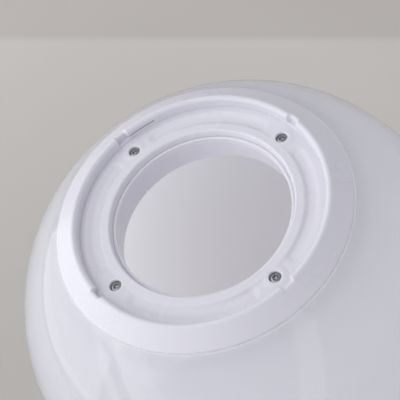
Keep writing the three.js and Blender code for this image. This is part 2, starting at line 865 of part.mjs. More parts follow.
// A slot for a flat driver, right across a head of this radius
function driverSlot(radius, top) {
  return block(0, 0, top, 2 * (radius + cutOverrun), driverSlotWidth, 2 * driverSlotDepth);
}

function terminalScrews() {
  const high = cupFloor + blockHeight - terminalScrewSink;
  const low = high - terminalScrewLength;
  const shank = drum(terminalScrewRadius, low, high, tinyFacets);
  const screw = shank.subtract(driverSlot(terminalScrewRadius, high));
  return poles.map((x, i) => mesh(`terminal_screw_${i + 1}`, screw.translate([x, blockOffset, 0]), "brass"));
}

function blockScrew() {
  const headTop = cupFloor + blockHeight - blockScrewSink;
  const headFoot = headTop - blockScrewHeadHeight;
  const body = turned(
    [
      [0, cupUnder - plateSheet],
      [blockScrewRadius, cupUnder - plateSheet],
      [blockScrewRadius, headFoot],
      [blockScrewHead, headFoot],
      [blockScrewHead, headTop],
      [0, headTop],
    ],
    tinyFacets,
  );
  const screw = body.subtract(driverSlot(blockScrewHead, headTop));
  return mesh("block_screw", screw.translate([poleSpacing / 2, blockOffset, 0]), "steel");
}

function earthScrew() {
  const headFoot = cupFloor + tagThickness;
  const headTop = headFoot + earthHeadHeight;
  const tip = cupUnder - earthScrewTail;
  const body = turned(
    [
      [0, tip],
      [earthScrewRadius, tip],
      [earthScrewRadius, headFoot],
      [earthHeadRadius, headFoot],
      [earthHeadRadius, headTop],
      [0, headTop],
    ],
    tinyFacets,
  );
  const screw = body.subtract(driverSlot(earthHeadRadius, headTop));
  return mesh("earth_screw", screw.translate([earthX, earthY, 0]), "steel");
}

function earthTag() {
  const high = cupFloor + tagThickness;
  const eye = ring(earthScrewRadius + fitGap, tagRadius, cupFloor, high, smallFacets);
  const middle = (cupFloor + high) / 2;
  const start = earthScrewRadius + 2 * fitGap;
  const tongue = block(0, (start + tagLength) / 2, middle, tagNeck, tagLength - start, tagThickness);
  const barrelY = tagLength + barrelLength / 2;
  const barrel = block(0, barrelY, cupFloor + barrelHeight / 2, tagNeck, barrelLength, barrelHeight);
  return mesh("earth_tag", join(eye, [tongue, barrel]).translate([earthX, earthY, 0]), "steel");
}

// A round wire along a smooth line through its points
function wire(name, points, look) {
  const section = new THREE.Shape().absarc(0, 0, wireRadius, 0, 2 * Math.PI, false);
  const places = points.map((point) => new THREE.Vector3(...point));
  const extrudePath = new THREE.CatmullRomCurve3(places, false, "centripetal");
  const run = { steps: 2 * points.length, curveSegments: wireFacets / 2, extrudePath, bevelEnabled: false };
  const geometry = new THREE.ExtrudeGeometry(section, run);
  return mesh(name, solid(geometry), look);
}

// From the terminal block over the nipple, down through it, and out to a post of the lampholder
function supplyWire(name, side, look) {
  const poleZ = cupFloor + poleHeight;
  const face = blockOffset - blockWidth / 2;
  const crest = poleZ + 2 * wireRadius;
  const low = insertTop + wireRadius + fitGap;
  const foot = cupUnder - nippleDrop;
  return wire(
    name,
    [
      [side * poleSpacing, face + blockWidth / 4, poleZ],
      [side * poleSpacing, face - wireRadius, poleZ],
      ...overShares.map(([out, along]) => [side * poleSpacing * out, face * along, crest]),
      [side * wirePair, 0, crest - 3 * wireRadius],
      [side * wirePair, 0, foot],
      [side * postReach * outShares[0], 0, (foot + low) / 2],
      [side * postReach * outShares[1], 0, low],
      [side * (postReach - fitGap), 0, low],
    ],
    look,
  );
}

function earthWire() {
  const poleZ = cupFloor + poleHeight;
  const face = blockOffset - blockWidth / 2;
  const start = earthY + tagLength + barrelLength + fitGap;
  const startZ = cupFloor + barrelHeight / 2;
  return wire(
    "earth_wire",
    [
      [earthX, start, startZ],
      [earthX, start + wireRadius, startZ],
      ...earthShares.map(([out, along, up]) => [earthX * out, face * along, startZ + (poleZ - startZ) * up]),
      [0, face, poleZ],
      [0, face + blockWidth / 4, poleZ],
    ],
    "green",
  );
}

function wiring() {
  return [
    terminalBlock(),
    ...terminalScrews(),
    blockScrew(),
    earthScrew(),
    earthTag(),
    supplyWire("line_wire", -1, "brown"),
    supplyWire("neutral_wire", 1, "blue"),
    earthWire(),
  ];
}

const light = new THREE.Group();
light.add(ceilingStrap(), ceilingPlate(), dustSeal(), ...plateScrews(), nipple(), nippleNut());
light.add(...lampholder(), ...bulb(), ...wiring(), shade());

export default light;
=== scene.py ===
# %% [markdown]
# # A balloon ceiling light, piece by piece
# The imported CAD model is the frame: it says where every piece is and how big it may be.
# Each cell below makes one real piece, or one real finish, on that frame. Most pieces of a light
# are turned, pressed or moulded, so most of them are a profile carried round the middle axis.

import bmesh
import bpy
import numpy as np
from mathutils import Matrix, Vector


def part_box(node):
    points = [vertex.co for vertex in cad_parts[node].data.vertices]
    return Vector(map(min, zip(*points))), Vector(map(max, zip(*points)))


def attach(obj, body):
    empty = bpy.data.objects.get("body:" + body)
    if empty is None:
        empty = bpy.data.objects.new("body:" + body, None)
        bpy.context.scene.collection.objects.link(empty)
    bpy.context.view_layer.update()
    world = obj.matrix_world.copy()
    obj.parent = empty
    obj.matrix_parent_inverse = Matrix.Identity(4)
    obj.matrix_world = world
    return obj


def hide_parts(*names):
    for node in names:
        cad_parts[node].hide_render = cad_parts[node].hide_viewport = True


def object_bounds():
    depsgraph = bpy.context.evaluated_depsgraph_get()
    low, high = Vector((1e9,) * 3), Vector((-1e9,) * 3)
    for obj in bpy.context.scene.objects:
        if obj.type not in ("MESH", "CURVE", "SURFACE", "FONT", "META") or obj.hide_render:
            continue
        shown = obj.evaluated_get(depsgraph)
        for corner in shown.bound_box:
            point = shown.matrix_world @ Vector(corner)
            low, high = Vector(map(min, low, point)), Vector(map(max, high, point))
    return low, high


MM = 0.001  # one millimetre in metres
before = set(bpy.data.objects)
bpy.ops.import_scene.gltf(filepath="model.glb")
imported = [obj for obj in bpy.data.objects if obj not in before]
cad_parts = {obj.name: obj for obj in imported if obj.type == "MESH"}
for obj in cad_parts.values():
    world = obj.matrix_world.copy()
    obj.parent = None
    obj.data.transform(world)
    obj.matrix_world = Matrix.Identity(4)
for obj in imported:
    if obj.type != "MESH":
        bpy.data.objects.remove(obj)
scene = bpy.context.scene
scene.view_settings.view_transform = "Standard"
cad_box = [list(corner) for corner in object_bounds()]
print("CAD box in metres:", [[round(x, 4) for x in corner] for corner in cad_box])

# %% [markdown]
# ## The camera
# It stands where the photographer stood: above the collar, looking down at it at about 54 degrees,
# with the picture turned a little. The lens is a long one, with 23.4 degrees across the frame.
# The camera comes first, so that every later choice can be checked from where the photo was taken.

# %% Camera
VIEW_ANGLE, PICTURE = 23.37, 400  # degrees and pixels across the square frame
CAMERA_PLACE = (0.1266, -0.2366, 0.0508)


def axes_at(place, right, up, back):
    """The matrix of an object at a place, whose X, Y and Z run along right, up and back."""
    return Matrix.Translation(place) @ Matrix((right, up, back)).transposed().to_4x4()


camera_data = bpy.data.cameras.new("camera")
camera = bpy.data.objects.new("camera", camera_data)
scene.collection.objects.link(camera)
scene.camera = camera
picture_right = Vector((0.9592, 0.0812, -0.2708)).normalized()
look = Vector((-0.2726, 0.5196, -0.8098))
look = (look - picture_right * look.dot(picture_right)).normalized()
picture_up = picture_right.cross(look)
camera.matrix_world = axes_at(CAMERA_PLACE, picture_right, picture_up, -look)
camera_data.angle = np.radians(VIEW_ANGLE)
camera_data.clip_start = 0.01
print("lens in mm:", round(camera_data.lens, 1))

# %% [markdown]
# ## Nodes in one line each
# A finish is a small graph of nodes. It could be drawn by hand in the Shader Editor. Written as one
# call for each node, with its settings and what each input takes, a whole graph can be read from
# top to bottom, and the next piece can use it again.


# %% Node helpers
def set_inputs(tree, node, values):
    """Gives each input of a node, by name or number, a value or another node's output."""
    for label, value in values.items():
        if isinstance(value, bpy.types.NodeSocket):
            tree.links.new(value, node.inputs[label])
        else:
            node.inputs[label].default_value = value
    return node


def add_node(tree, kind, values={}, **settings):
    """A new node of a kind, with its settings by name and its inputs as above."""
    node = tree.nodes.new("ShaderNode" + kind)
    for label, value in settings.items():
        setattr(node, label, value)
    return set_inputs(tree, node, values)


def blend(tree, amount, a, b):
    """A colour mix. amount, a and b are sockets, numbers or colours."""
    return add_node(tree, "Mix", {0: amount, 6: a, 7: b}, data_type="RGBA").outputs[2]


def new_material(name):
    """A new node material, its tree and its Principled shader."""
    material = bpy.data.materials.new(name)
    material.use_nodes = True
    return material, material.node_tree, material.node_tree.nodes["Principled BSDF"]


def show(tree, surface):
    """Joins a shader to the material's surface."""
    set_inputs(tree, tree.nodes["Material Output"], {"Surface": surface})


print("node helpers: set_inputs, add_node, blend, new_material, show")

# %% [markdown]
# ## The stage
# The light is shown over a plain pale floor, a little below its lowest point. The floor is one big
# square face. It is not part of the light, so it is marked as stage.

# %% Floor
FLOOR_DROP, FLOOR_REACH = 0.03, 9  # metres below the light's lowest point, and out to each side
floor_z = cad_box[0][2] - FLOOR_DROP
floor_mesh = bpy.data.meshes.new("floor")
floor_corners = [(x * FLOOR_REACH, y * FLOOR_REACH, floor_z)
                 for x, y in ((-1, -1), (1, -1), (1, 1), (-1, 1))]
floor_mesh.from_pydata(floor_corners, [], [(0, 1, 2, 3)])
floor = bpy.data.objects.new("floor", floor_mesh)
scene.collection.objects.link(floor)
print("floor at", round(floor_z, 4))

# %% [markdown]
# The floor is pale card, with a slightly darker strip far behind, and painted shade makes it greyer
# towards the picture's lower left. Both follow places on the floor, found by sending a ray through
# a pixel.
# Its underside is clear, so that the light can also be seen from below.

# %% Floor finish
EDGE_ROW = 40  # picture row of the line where the darker strip begins
NEAR_TINT, FAR_TINT = (0.60, 0.565, 0.53, 1), (0.525, 0.49, 0.458, 1)
SHADE_CORNER = (-40, 420)  # the pixel where the floor's painted shade is darkest
PAINTED_SHADE_RANGE = {"From Min": 0.04, "From Max": 0.46, "To Min": 0.755, "To Max": 1.0}


def crossing(px, py):
    """Where the ray through a pixel of the picture meets the floor."""
    middle = PICTURE / 2
    focal = middle / np.tan(np.radians(VIEW_ANGLE) / 2)
    ray = look * focal + picture_right * (px - middle) - picture_up * (py - middle)
    start = camera.matrix_world.translation
    return start + ray * ((floor_z - start.z) / ray.z)


edge_left, edge_right = crossing(0, EDGE_ROW), crossing(PICTURE, EDGE_ROW)
along_edge = (edge_right - edge_left).normalized()
off_edge = Vector((-along_edge.y, along_edge.x, 0))
edge_at = off_edge.dot(edge_left)
floor_card, tree, shader = new_material("floor_card")
place = add_node(tree, "NewGeometry")
spot = place.outputs["Position"]
past_edge = add_node(tree, "VectorMath", {0: spot, 1: off_edge}, operation="DOT_PRODUCT")
strip = add_node(
    tree, "MapRange", {"Value": past_edge.outputs["Value"], "From Min": edge_at - 0.004,
                       "From Max": edge_at + 0.008}, interpolation_type="SMOOTHSTEP")
tint = blend(tree, strip.outputs["Result"], NEAR_TINT, FAR_TINT)
# Painted shade: the floor's colour darkens with the distance from that pixel.
away = add_node(tree, "VectorMath", {0: spot, 1: crossing(*SHADE_CORNER)}, operation="DISTANCE")
fade = add_node(tree, "MapRange", {"Value": away.outputs["Value"], **PAINTED_SHADE_RANGE})
dim = add_node(tree, "VectorMath", {0: tint, "Scale": fade.outputs["Result"]}, operation="SCALE")
set_inputs(tree, shader, {"Base Color": dim.outputs["Vector"], "Roughness": 0.75,
                          "Specular IOR Level": 0.2})
clear = add_node(tree, "BsdfTransparent")
show(tree, add_node(tree, "MixShader", {0: place.outputs["Backfacing"], 1: shader.outputs[0],
                                        2: clear.outputs[0]}).outputs[0])
floor_mesh.materials.append(floor_card)
print("the floor's strip begins", round(edge_at, 3), "m behind the axis")

# %% [markdown]
# ## Light
# A big soft window of light stands high on the picture's left, and a smaller one stands low, so
# that the rim's left side is lit too. The pale world fills the shadows. A sun lamp would be
# simpler, but its hard shadows and pinpoint gloss wouldn't look like daylight in a room.

# %% World and lamps
ROOM = 0.543  # strength of the pale world
WORLD_TINT, LAMP_WHITE = (0.93, 0.94, 1.0, 1), (0.97, 0.985, 1.0)
WINDOWS = {  # azimuth and elevation in degrees, metres away, (wide, high) in metres, and watts
    "window_high": (-165, 56, 1.7, (3.0, 2.6), 21.81),
    "window_low": (-177, 7, 1.05, (1.2, 0.8), 3.31),
}
collar_middle = Vector((0, 0, -0.325))
world = bpy.data.worlds.new("soft_room")
scene.world = world
world.use_nodes = True
sky = world.node_tree.nodes["Background"]
set_inputs(world.node_tree, sky, {"Color": WORLD_TINT, "Strength": ROOM})


def area_lamp(name, place, aim, size, watts):
    """A flat soft lamp of size (wide, high) in metres, turned to face a point."""
    data = bpy.data.lights.new(name, "AREA")
    data.shape = "RECTANGLE"
    data.size, data.size_y = size
    data.energy, data.color = watts, LAMP_WHITE
    lamp = bpy.data.objects.new(name, data)
    lamp.location = place
    lamp.rotation_euler = (Vector(aim) - Vector(place)).to_track_quat("-Z", "Y").to_euler()
    lamp.visible_camera = False
    scene.collection.objects.link(lamp)
    return lamp


def toward(azimuth, elevation, distance, start=collar_middle):
    """A place seen from a start at this azimuth and elevation in degrees."""
    a, e = np.radians([azimuth, elevation])
    return start + distance * Vector((np.cos(e) * np.cos(a), np.cos(e) * np.sin(a), np.sin(e)))


for name, (azimuth, elevation, distance, size, watts) in WINDOWS.items():
    window = area_lamp(name, toward(azimuth, elevation, distance), collar_middle, size, watts)
    print(name, "at", [round(x, 2) for x in window.location])

# %% [markdown]
# The glossy shell also mirrors a window's edges: fine lines run down its lower left and right.
# Narrow dim lamps stand where those edges are mirrored. Each one hangs by its long edge, which runs
# between two directions seen from a spot on the shell, and it spreads to one side of that edge.

# %% Strips for the reflected lines
STRIP, STRIP_AWAY = 0.87, 1.5  # glow in watts per square metre and steradian, and metres away
LEFT_SPOT, RIGHT_SPOT = Vector((-0.040, -0.074, -0.336)), Vector((0.048, -0.075, -0.340))
STRIPS = {  # spot, azimuth and elevation of the edge's top and foot, metres wide, share of STRIP
    "strip_near_line": (LEFT_SPOT, (-155, 24), (-130, 2), 0.20, 1.8),
    "strip_past_line": (LEFT_SPOT, (-155, 24), (-130, 2), 0.45, 1.0),
    "strip_before_line": (LEFT_SPOT, (-161, 22), (-136, 0), -0.14, 1.1),
    "strip_right": (RIGHT_SPOT, (-42, 45), (-64, 5), 0.30, 1.0),
}


def strip_lamp(name, spot, top, foot, wide, glow):
    """A lamp whose long edge runs from the direction `top` to `foot` seen from a spot. It is
    `wide` metres wide, past the edge or, where that is negative, before it. Its power is
    glow x pi x area."""
    high, low = (toward(*direction, STRIP_AWAY, spot) for direction in (top, foot))
    back = ((high + low) / 2 - spot).normalized()
    along = (high - low).normalized()
    across = along.cross(back).normalized()
    long = (high - low).length
    power = glow * np.pi * abs(wide) * long
    lamp = area_lamp(name, (0, 0, 0), (0, 0, -1), (abs(wide), long), power)
    middle = (high + low) / 2 + across * wide / 2
    lamp.matrix_world = axes_at(middle, across, along, across.cross(along))


for name, (spot, top, foot, wide, share) in STRIPS.items():
    strip_lamp(name, spot, top, foot, wide, share * STRIP)
print("strips:", len(STRIPS), "of about", STRIP, "watts per square metre and steradian")

# %% [markdown]
# ## Surfaces from numbers
# A turned or moulded piece is a closed outline in the plane of radius and height, carried round the
# axis. Worked out as whole arrays, a piece is a grid: row j is a place on the outline, and column i
# is an angle. The next cells turn such a grid into a mesh, and round the corners of an outline.


# %% A mesh from points and faces
def add_piece(name, part, body, node, material, place=(0, 0, 0), sharp=38):
    """A smooth mesh piece from a part, which is points in mm and a list of face arrays. It is
    moved to its place, rides on its body, stands for its CAD node and takes its finish. Edges
    that turn by more than `sharp` degrees stay crisp."""
    points, faces = part
    points = np.asarray(points, float) + np.asarray(place, float)
    faces = [np.asarray(f, np.int32) for f in faces]
    loops = np.concatenate([f.ravel() for f in faces])
    sizes = np.concatenate([np.full(len(f), f.shape[1], np.int32) for f in faces])
    starts = np.concatenate([[0], np.cumsum(sizes)[:-1]]).astype(np.int32)
    mesh = bpy.data.meshes.new(name)
    mesh.vertices.add(len(points))
    mesh.vertices.foreach_set("co", (points * MM).astype(np.float32).ravel())
    mesh.loops.add(len(loops))
    mesh.loops.foreach_set("vertex_index", loops)
    mesh.polygons.add(len(sizes))
    mesh.polygons.foreach_set("loop_start", starts)
    mesh.update(calc_edges=True)
    mesh.validate()
    return finished_piece(name, mesh, body, node, material, sharp)


def finished_piece(name, mesh, body, node, material, sharp):
    """The object of a mesh, smooth but for its sharp edges, on its body and with its finish."""
    mesh.polygons.foreach_set("use_smooth", np.ones(len(mesh.polygons), bool))
    mesh.set_sharp_from_angle(angle=np.radians(sharp))
    mesh.materials.clear()
    mesh.materials.append(material)
    piece = bpy.data.objects.new(name, mesh)
    scene.collection.objects.link(piece)
    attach(piece, body)
    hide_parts(node)
    return piece


# %% Faces of a grid
def grid_faces(rows, columns, closed_rows):
    """Quads between neighbours of a grid whose columns wrap round, and its rows too if closed_rows.
    Walking an outline counterclockwise in (radius, height) makes them face outwards."""
    j = np.arange(rows if closed_rows else rows - 1)[:, None]
    i = np.arange(columns)[None, :]
    up, on = (j + 1) % rows, (i + 1) % columns
    quads = np.stack([j * columns + i, j * columns + on, up * columns + on, up * columns + i], -1)
    return quads.reshape(-1, 4)


def grid_shell(grid, poles=False):
    """Points and faces of a closed shell from grid[row, column] = (x, y, z). The rows close into a
    ring, or else, with poles, the first and the last row are each one point on the axis."""
    rows, columns = grid.shape[:2]
    if not poles:
        return grid.reshape(-1, 3), [grid_faces(rows, columns, True)]
    inner = grid[1:-1]
    points = np.concatenate([inner.reshape(-1, 3), grid[0, :1], grid[-1, :1]])
    i = np.arange(columns)
    on = (i + 1) % columns
    last = (len(inner) - 1) * columns  # the number of the last inner row's first point
    foot_tip, head_tip = (np.full(columns, inner.shape[0] * columns + k) for k in (0, 1))
    return points, [grid_faces(len(inner), columns, False), np.stack([foot_tip, on, i], -1),
                    np.stack([head_tip, last + i, last + on], -1)]


print("a ring of 4 rows and 6 columns has", len(grid_faces(4, 6, True)), "faces")

# %% Outlines with soft corners
CUT, MOST_CUT, FLAT_FROM = 0.1, 0.42, 1.14  # mm where none is given, shares of an edge and a cut


def rounded(corners, steps=4, closed=True):
    """Points along an outline whose corners are softened. A corner C with cut c becomes the curve
    (1-s)^2 A + 2s(1-s) C + s^2 B, where A and B lie c before and after C on its two edges. One more
    point a little further out on each side keeps the flats between corners flat when shaded."""
    spot = np.array([c[:2] for c in corners], float)
    cut = np.array([c[2] if len(c) > 2 else CUT for c in corners], float)
    back, ahead = np.roll(spot, 1, 0) - spot, np.roll(spot, -1, 0) - spot
    long_back, long_ahead = np.linalg.norm(back, axis=1), np.linalg.norm(ahead, axis=1)
    cut = np.minimum(cut, MOST_CUT * np.minimum(long_back, long_ahead))
    a = back / long_back[:, None]
    b = ahead / long_ahead[:, None]
    s = np.linspace(0, 1, steps + 1)[None, :, None]
    reach = cut[:, None, None]
    curve = spot[:, None] + (1 - s) ** 2 * a[:, None] * reach + s**2 * b[:, None] * reach
    before = spot + a * cut[:, None] * FLAT_FROM
    after = spot + b * cut[:, None] * FLAT_FROM
    path = np.concatenate([before[:, None], curve, after[:, None]], 1)
    if closed:
        return path.reshape(-1, 2)
    return np.concatenate([spot[:1], path[1:-1].reshape(-1, 2), spot[-1:]])


print("a corner becomes", len(rounded([(0, 0), (9, 0), (9, 9)])) // 3, "points")


# %% Turning an outline round the axis
def angles_round(columns):
    """Evenly spaced angles of a full turn, in radians."""
    return np.linspace(0, 2 * np.pi, columns, endpoint=False)


def around(rows, angles):
    """grid[row, column] of (radius, height) turned about Z: x = r cos(angle), y = r sin(angle) and
    z = h. rows is one outline for all the angles, or has a column of its own for each."""
    rows = rows[:, None] if rows.ndim == 2 else rows
    r, h = rows[..., 0], rows[..., 1]
    return np.stack([r * np.cos(angles), r * np.sin(angles), h + 0 * angles], -1)


def level_rows(corners, columns):
    """Rows at given (radius, height) that don't change with the angle."""
    return np.broadcast_to(np.array(corners, float)[:, None, :], (len(corners), columns, 2))


def turned(outline, columns=96):
    """A part turned about Z from a counterclockwise outline, which may start and end in a pole."""
    outline = np.asarray(outline, float)
    return grid_shell(around(outline, angles_round(columns)), poles=outline[0, 0] < 1e-6)


def turned_by(part, angle):
    """A part turned about Z by an angle in radians."""
    c, s = np.cos(angle), np.sin(angle)
    return part[0] @ np.array([[c, s, 0], [-s, c, 0], [0, 0, 1]]), part[1]


def joined(parts):
    """One part of several closed shells: their points in a row, their faces counted on."""
    firsts = np.cumsum([0] + [len(points) for points, _ in parts[:-1]])
    faces = [f + first for first, (_, some) in zip(firsts, parts) for f in some]
    return np.concatenate([points for points, _ in parts]), faces


print("a turned part has", len(angles_round(96)), "columns if nothing else is said")

# %% [markdown]
# ## Finishes shared by many pieces
# Three effects come back on nearly every piece, so each is a node group that is built once:
# a moulded skin with a slow waviness and a faint mottle, dust that settles on faces that look up,
# and metal with fine turning lines. Each group only puts out colours, values and heights, and the
# Principled shader stays in the material itself.


# %% Node group helpers
def new_group(name, takes, gives):
    """A shader node group with named inputs (name, kind, value) and outputs (name, kind), its
    Object coordinates, and its input and output nodes."""
    group = bpy.data.node_groups.new(name, "ShaderNodeTree")
    for label, kind, value in takes:
        kind = "NodeSocket" + kind
        group.interface.new_socket(label, in_out="INPUT", socket_type=kind).default_value = value
    for label, kind in gives:
        group.interface.new_socket(label, in_out="OUTPUT", socket_type="NodeSocket" + kind)
    where = group.nodes.new("ShaderNodeTexCoord").outputs["Object"]
    into, out = group.nodes.new("NodeGroupInput"), group.nodes.new("NodeGroupOutput")
    return group, where, into.outputs, out


def maths(tree, kind, a, b=0.0, clamp=False):
    """One Math node. Each of a and b is a number or a socket."""
    return add_node(tree, "Math", {0: a, 1: b}, operation=kind, use_clamp=clamp).outputs[0]


def noise(tree, where, scale, detail=2.0, rough=0.5):
    """A noise value over a position socket. scale is in repeats per metre."""
    values = {"Vector": where, "Scale": scale, "Detail": detail, "Roughness": rough}
    return add_node(tree, "TexNoise", values).outputs["Fac"]


print("group helpers: new_group, maths, noise")


# %% Group: moulded skin
def moulded_skin():
    """Colour, roughness and height of a moulded surface: slow waves of the tool's face, a mottle
    between two near colours, and a fine grain."""
    takes = [("Colour", "Color", (0.8, 0.8, 0.8, 1)),
             ("Second Colour", "Color", (0.75, 0.75, 0.75, 1)),
             ("Mottle Scale", "Float", 40.0), ("Roughness", "Float", 0.3),
             ("Roughness Spread", "Float", 0.1), ("Wave Scale", "Float", 25.0),
             ("Wave", "Float", 0.5), ("Grain Scale", "Float", 900.0), ("Grain", "Float", 0.2)]
    gives = [("Colour", "Color"), ("Roughness", "Float"), ("Height", "Float")]
    group, where, given, out = new_group("moulded_skin", takes, gives)
    mottle = noise(group, where, given["Mottle Scale"], 3.0)
    off_middle = maths(group, "SUBTRACT", mottle, 0.5)
    spread = maths(group, "MULTIPLY", off_middle, given["Roughness Spread"])
    wave = maths(group, "MULTIPLY", noise(group, where, given["Wave Scale"], 1.0), given["Wave"])
    grain = maths(group, "MULTIPLY", noise(group, where, given["Grain Scale"], 2.0), given["Grain"])
    set_inputs(group, out, {
        "Colour": blend(group, mottle, given["Colour"], given["Second Colour"]),
        "Roughness": maths(group, "ADD", given["Roughness"], spread, True),
        "Height": maths(group, "ADD", wave, grain),
    })
    return group


skin_group = moulded_skin()
print("group:", skin_group.name, "with", len(skin_group.nodes), "nodes")

# %% Group: settled dust
DUST_FROM, DUST_GAIN = 0.35, 1.5  # a face's rise where dust begins to stay, and its gain
PATCH_SCALE, SPECK_FROM, DUST_ROUGHENS = 60.0, 0.68, 0.6


def settled_dust():
    """Lightens and roughens faces that look up: the mask is the normal's rise times a patchy noise
    and fine specks."""
    takes = [("Colour", "Color", (0.8, 0.8, 0.8, 1)), ("Roughness", "Float", 0.3),
             ("Dust Colour", "Color", (0.7, 0.69, 0.67, 1)), ("Amount", "Float", 0.15),
             ("Speck Scale", "Float", 1200.0)]
    gives = [("Colour", "Color"), ("Roughness", "Float"), ("Mask", "Float")]
    group, where, given, out = new_group("settled_dust", takes, gives)
    normal = add_node(group, "NewGeometry").outputs["Normal"]
    up = add_node(group, "SeparateXYZ", {0: normal}).outputs["Z"]
    rise = maths(group, "MULTIPLY", maths(group, "SUBTRACT", up, DUST_FROM, True), DUST_GAIN)
    patches = noise(group, where, PATCH_SCALE, 3.0)
    specks = noise(group, where, given["Speck Scale"], 1.0)
    both = maths(group, "ADD", patches, maths(group, "GREATER_THAN", specks, SPECK_FROM))
    mask = maths(group, "MULTIPLY", maths(group, "MULTIPLY", rise, both), given["Amount"], True)
    rougher = maths(group, "MULTIPLY", mask, DUST_ROUGHENS)
    set_inputs(group, out, {
        "Colour": blend(group, mask, given["Colour"], given["Dust Colour"]),
        "Roughness": maths(group, "ADD", given["Roughness"], rougher, True),
        "Mask": mask,
    })
    return group


dust_group = settled_dust()
print("group:", dust_group.name, "with", len(dust_group.nodes), "nodes")

# %% Group: turned metal
TURNING = (0.12, 0.12, 1.0)  # stretches the noise round the piece, into turning lines
LINE_SHARE, DULL_MIDDLE = 0.35, 0.4


def turned_metal():
    """Colour and roughness of plated or rolled metal: cloudy patches times fine turning lines,
    which also give the height."""
    takes = [("Colour", "Color", (0.6, 0.6, 0.62, 1)),
             ("Dull Colour", "Color", (0.42, 0.42, 0.44, 1)),
             ("Patch Scale", "Float", 300.0), ("Line Scale", "Float", 2500.0),
             ("Roughness", "Float", 0.3), ("Roughness Spread", "Float", 0.25)]
    gives = [("Colour", "Color"), ("Roughness", "Float"), ("Height", "Float")]
    group, where, given, out = new_group("turned_metal", takes, gives)
    patch = noise(group, where, given["Patch Scale"], 3.0, 0.6)
    stretch = add_node(group, "Mapping", {"Vector": where, "Scale": TURNING})
    lines = noise(group, stretch.outputs["Vector"], given["Line Scale"], 2.0)
    mask = maths(group, "MULTIPLY", patch, maths(group, "ADD", lines, LINE_SHARE), True)
    off_middle = maths(group, "SUBTRACT", mask, DULL_MIDDLE)
    spread = maths(group, "MULTIPLY", off_middle, given["Roughness Spread"])
    set_inputs(group, out, {
        "Colour": blend(group, mask, given["Colour"], given["Dull Colour"]),
        "Roughness": maths(group, "ADD", given["Roughness"], spread, True),
        "Height": lines,
    })
    return group


metal_group = turned_metal()
print("group:", metal_group.name, "with", len(metal_group.nodes), "nodes")


# %% From a group to a Principled shader
def placed_group(tree, group, **values):
    """A group node in a material's tree, with its inputs set by name (spaces as underscores)."""
    values = {label.replace("_", " "): value for label, value in values.items()}
    return add_node(tree, "Group", values, node_tree=group)


def dressed(tree, shader, base, dust, relief):
    """Gives a Principled shader a base group's colour and roughness with dust over them, and its
    height as a bump of `relief` mm. Returns the bumped normal."""
    top = placed_group(tree, dust_group, Amount=dust, Colour=base.outputs["Colour"],
                       Roughness=base.outputs["Roughness"])
    height = {"Strength": 1.0, "Distance": relief * MM, "Height": base.outputs["Height"]}
    normal = add_node(tree, "Bump", height).outputs["Normal"]
    set_inputs(tree, shader, {"Base Color": top.outputs["Colour"], "Normal": normal,
                              "Roughness": top.outputs["Roughness"]})
    return normal


def metal(name, colour, dull, rough=0.3, **values):
    """A metal: the turned metal group, then dust, then a metallic Principled shader."""
    material, tree, shader = new_material(name)
    base = placed_group(tree, metal_group, Colour=(*colour, 1), Dull_Colour=(*dull, 1),
                        Roughness=rough, **values)
    dressed(tree, shader, base, dust=0.1, relief=0.01)
    shader.inputs["Metallic"].default_value = 1.0
    return material


zinc = metal("zinc_plated_steel", (0.62, 0.63, 0.64), (0.40, 0.41, 0.43), rough=0.28)
# The collar's screws are steel, with their colour darkened as painted shade of their counterbores.
shaded_screw_metal = metal("darkened_screw_metal", (0.36, 0.37, 0.38), (0.20, 0.205, 0.21), rough=0.24)
print("metals:", zinc.name, shaded_screw_metal.name)

# %% [markdown]
# ## Plastics
# All plastics are one recipe with their own numbers. Opal plastic lets most light through its thin
# wall and spreads it, which a Translucent shader does. Outside, the shell is polished by the mould.
# That gloss belongs to the surface and not to the light inside it, so it is laid over the mix as a
# cover of its own. Blown from inside by air, the inner face stays satin, and its colour is painted
# a little bluer than the outside's, for the light seen inside the shade.

# %% Plastics
POLISH, POLISH_IOR = 0.055, 1.5  # roughness and index of refraction of a polished skin
SPREAD_TINT = (1.0, 1.0, 1.05)  # light under the skin spreads a little further in blue


def plastic(name, colour, second, rough=0.3, dust=0.1, relief=0.02, see_through=0.0, glow=None,
            polished=False, scatter=0.0, **skin):
    """A moulded plastic: skin, then dust, then the Principled shader. see_through is the share of
    light that a thin wall lets through, as a Translucent shader beside the Principled one. A
    polished skin lies over both, as strong as the Fresnel law says, on the outer side alone.
    relief is the height of the skin's waves and scatter how far light spreads under it, in mm."""
    material, tree, shader = new_material(name)
    base = placed_group(tree, skin_group, Colour=(*colour, 1), Second_Colour=(*second, 1),
                        Roughness=rough, **skin)
    normal = dressed(tree, shader, base, dust, relief)
    shader.inputs["Specular IOR Level"].default_value = 0.0 if polished else 0.5
    if scatter:
        set_inputs(tree, shader, {"Subsurface Weight": 1.0, "Subsurface Radius": SPREAD_TINT,
                                  "Subsurface Scale": scatter * MM})
    surface = shader.outputs[0]
    if see_through:
        through = add_node(tree, "BsdfTranslucent", {"Color": (*(glow or colour), 1)})
        shares = {0: see_through, 1: surface, 2: through.outputs[0]}
        surface = add_node(tree, "MixShader", shares).outputs[0]
    if polished:
        shine = add_node(tree, "BsdfAnisotropic", {"Roughness": POLISH, "Normal": normal})
        law = add_node(tree, "Fresnel", {"IOR": POLISH_IOR, "Normal": normal})
        inner_side = add_node(tree, "NewGeometry").outputs["Backfacing"]
        share = maths(tree, "MULTIPLY", law.outputs[0], maths(tree, "SUBTRACT", 1.0, inner_side))
        shares = {0: share, 1: surface, 2: shine.outputs[0]}
        surface = add_node(tree, "MixShader", shares).outputs[0]
    show(tree, surface)
    return material


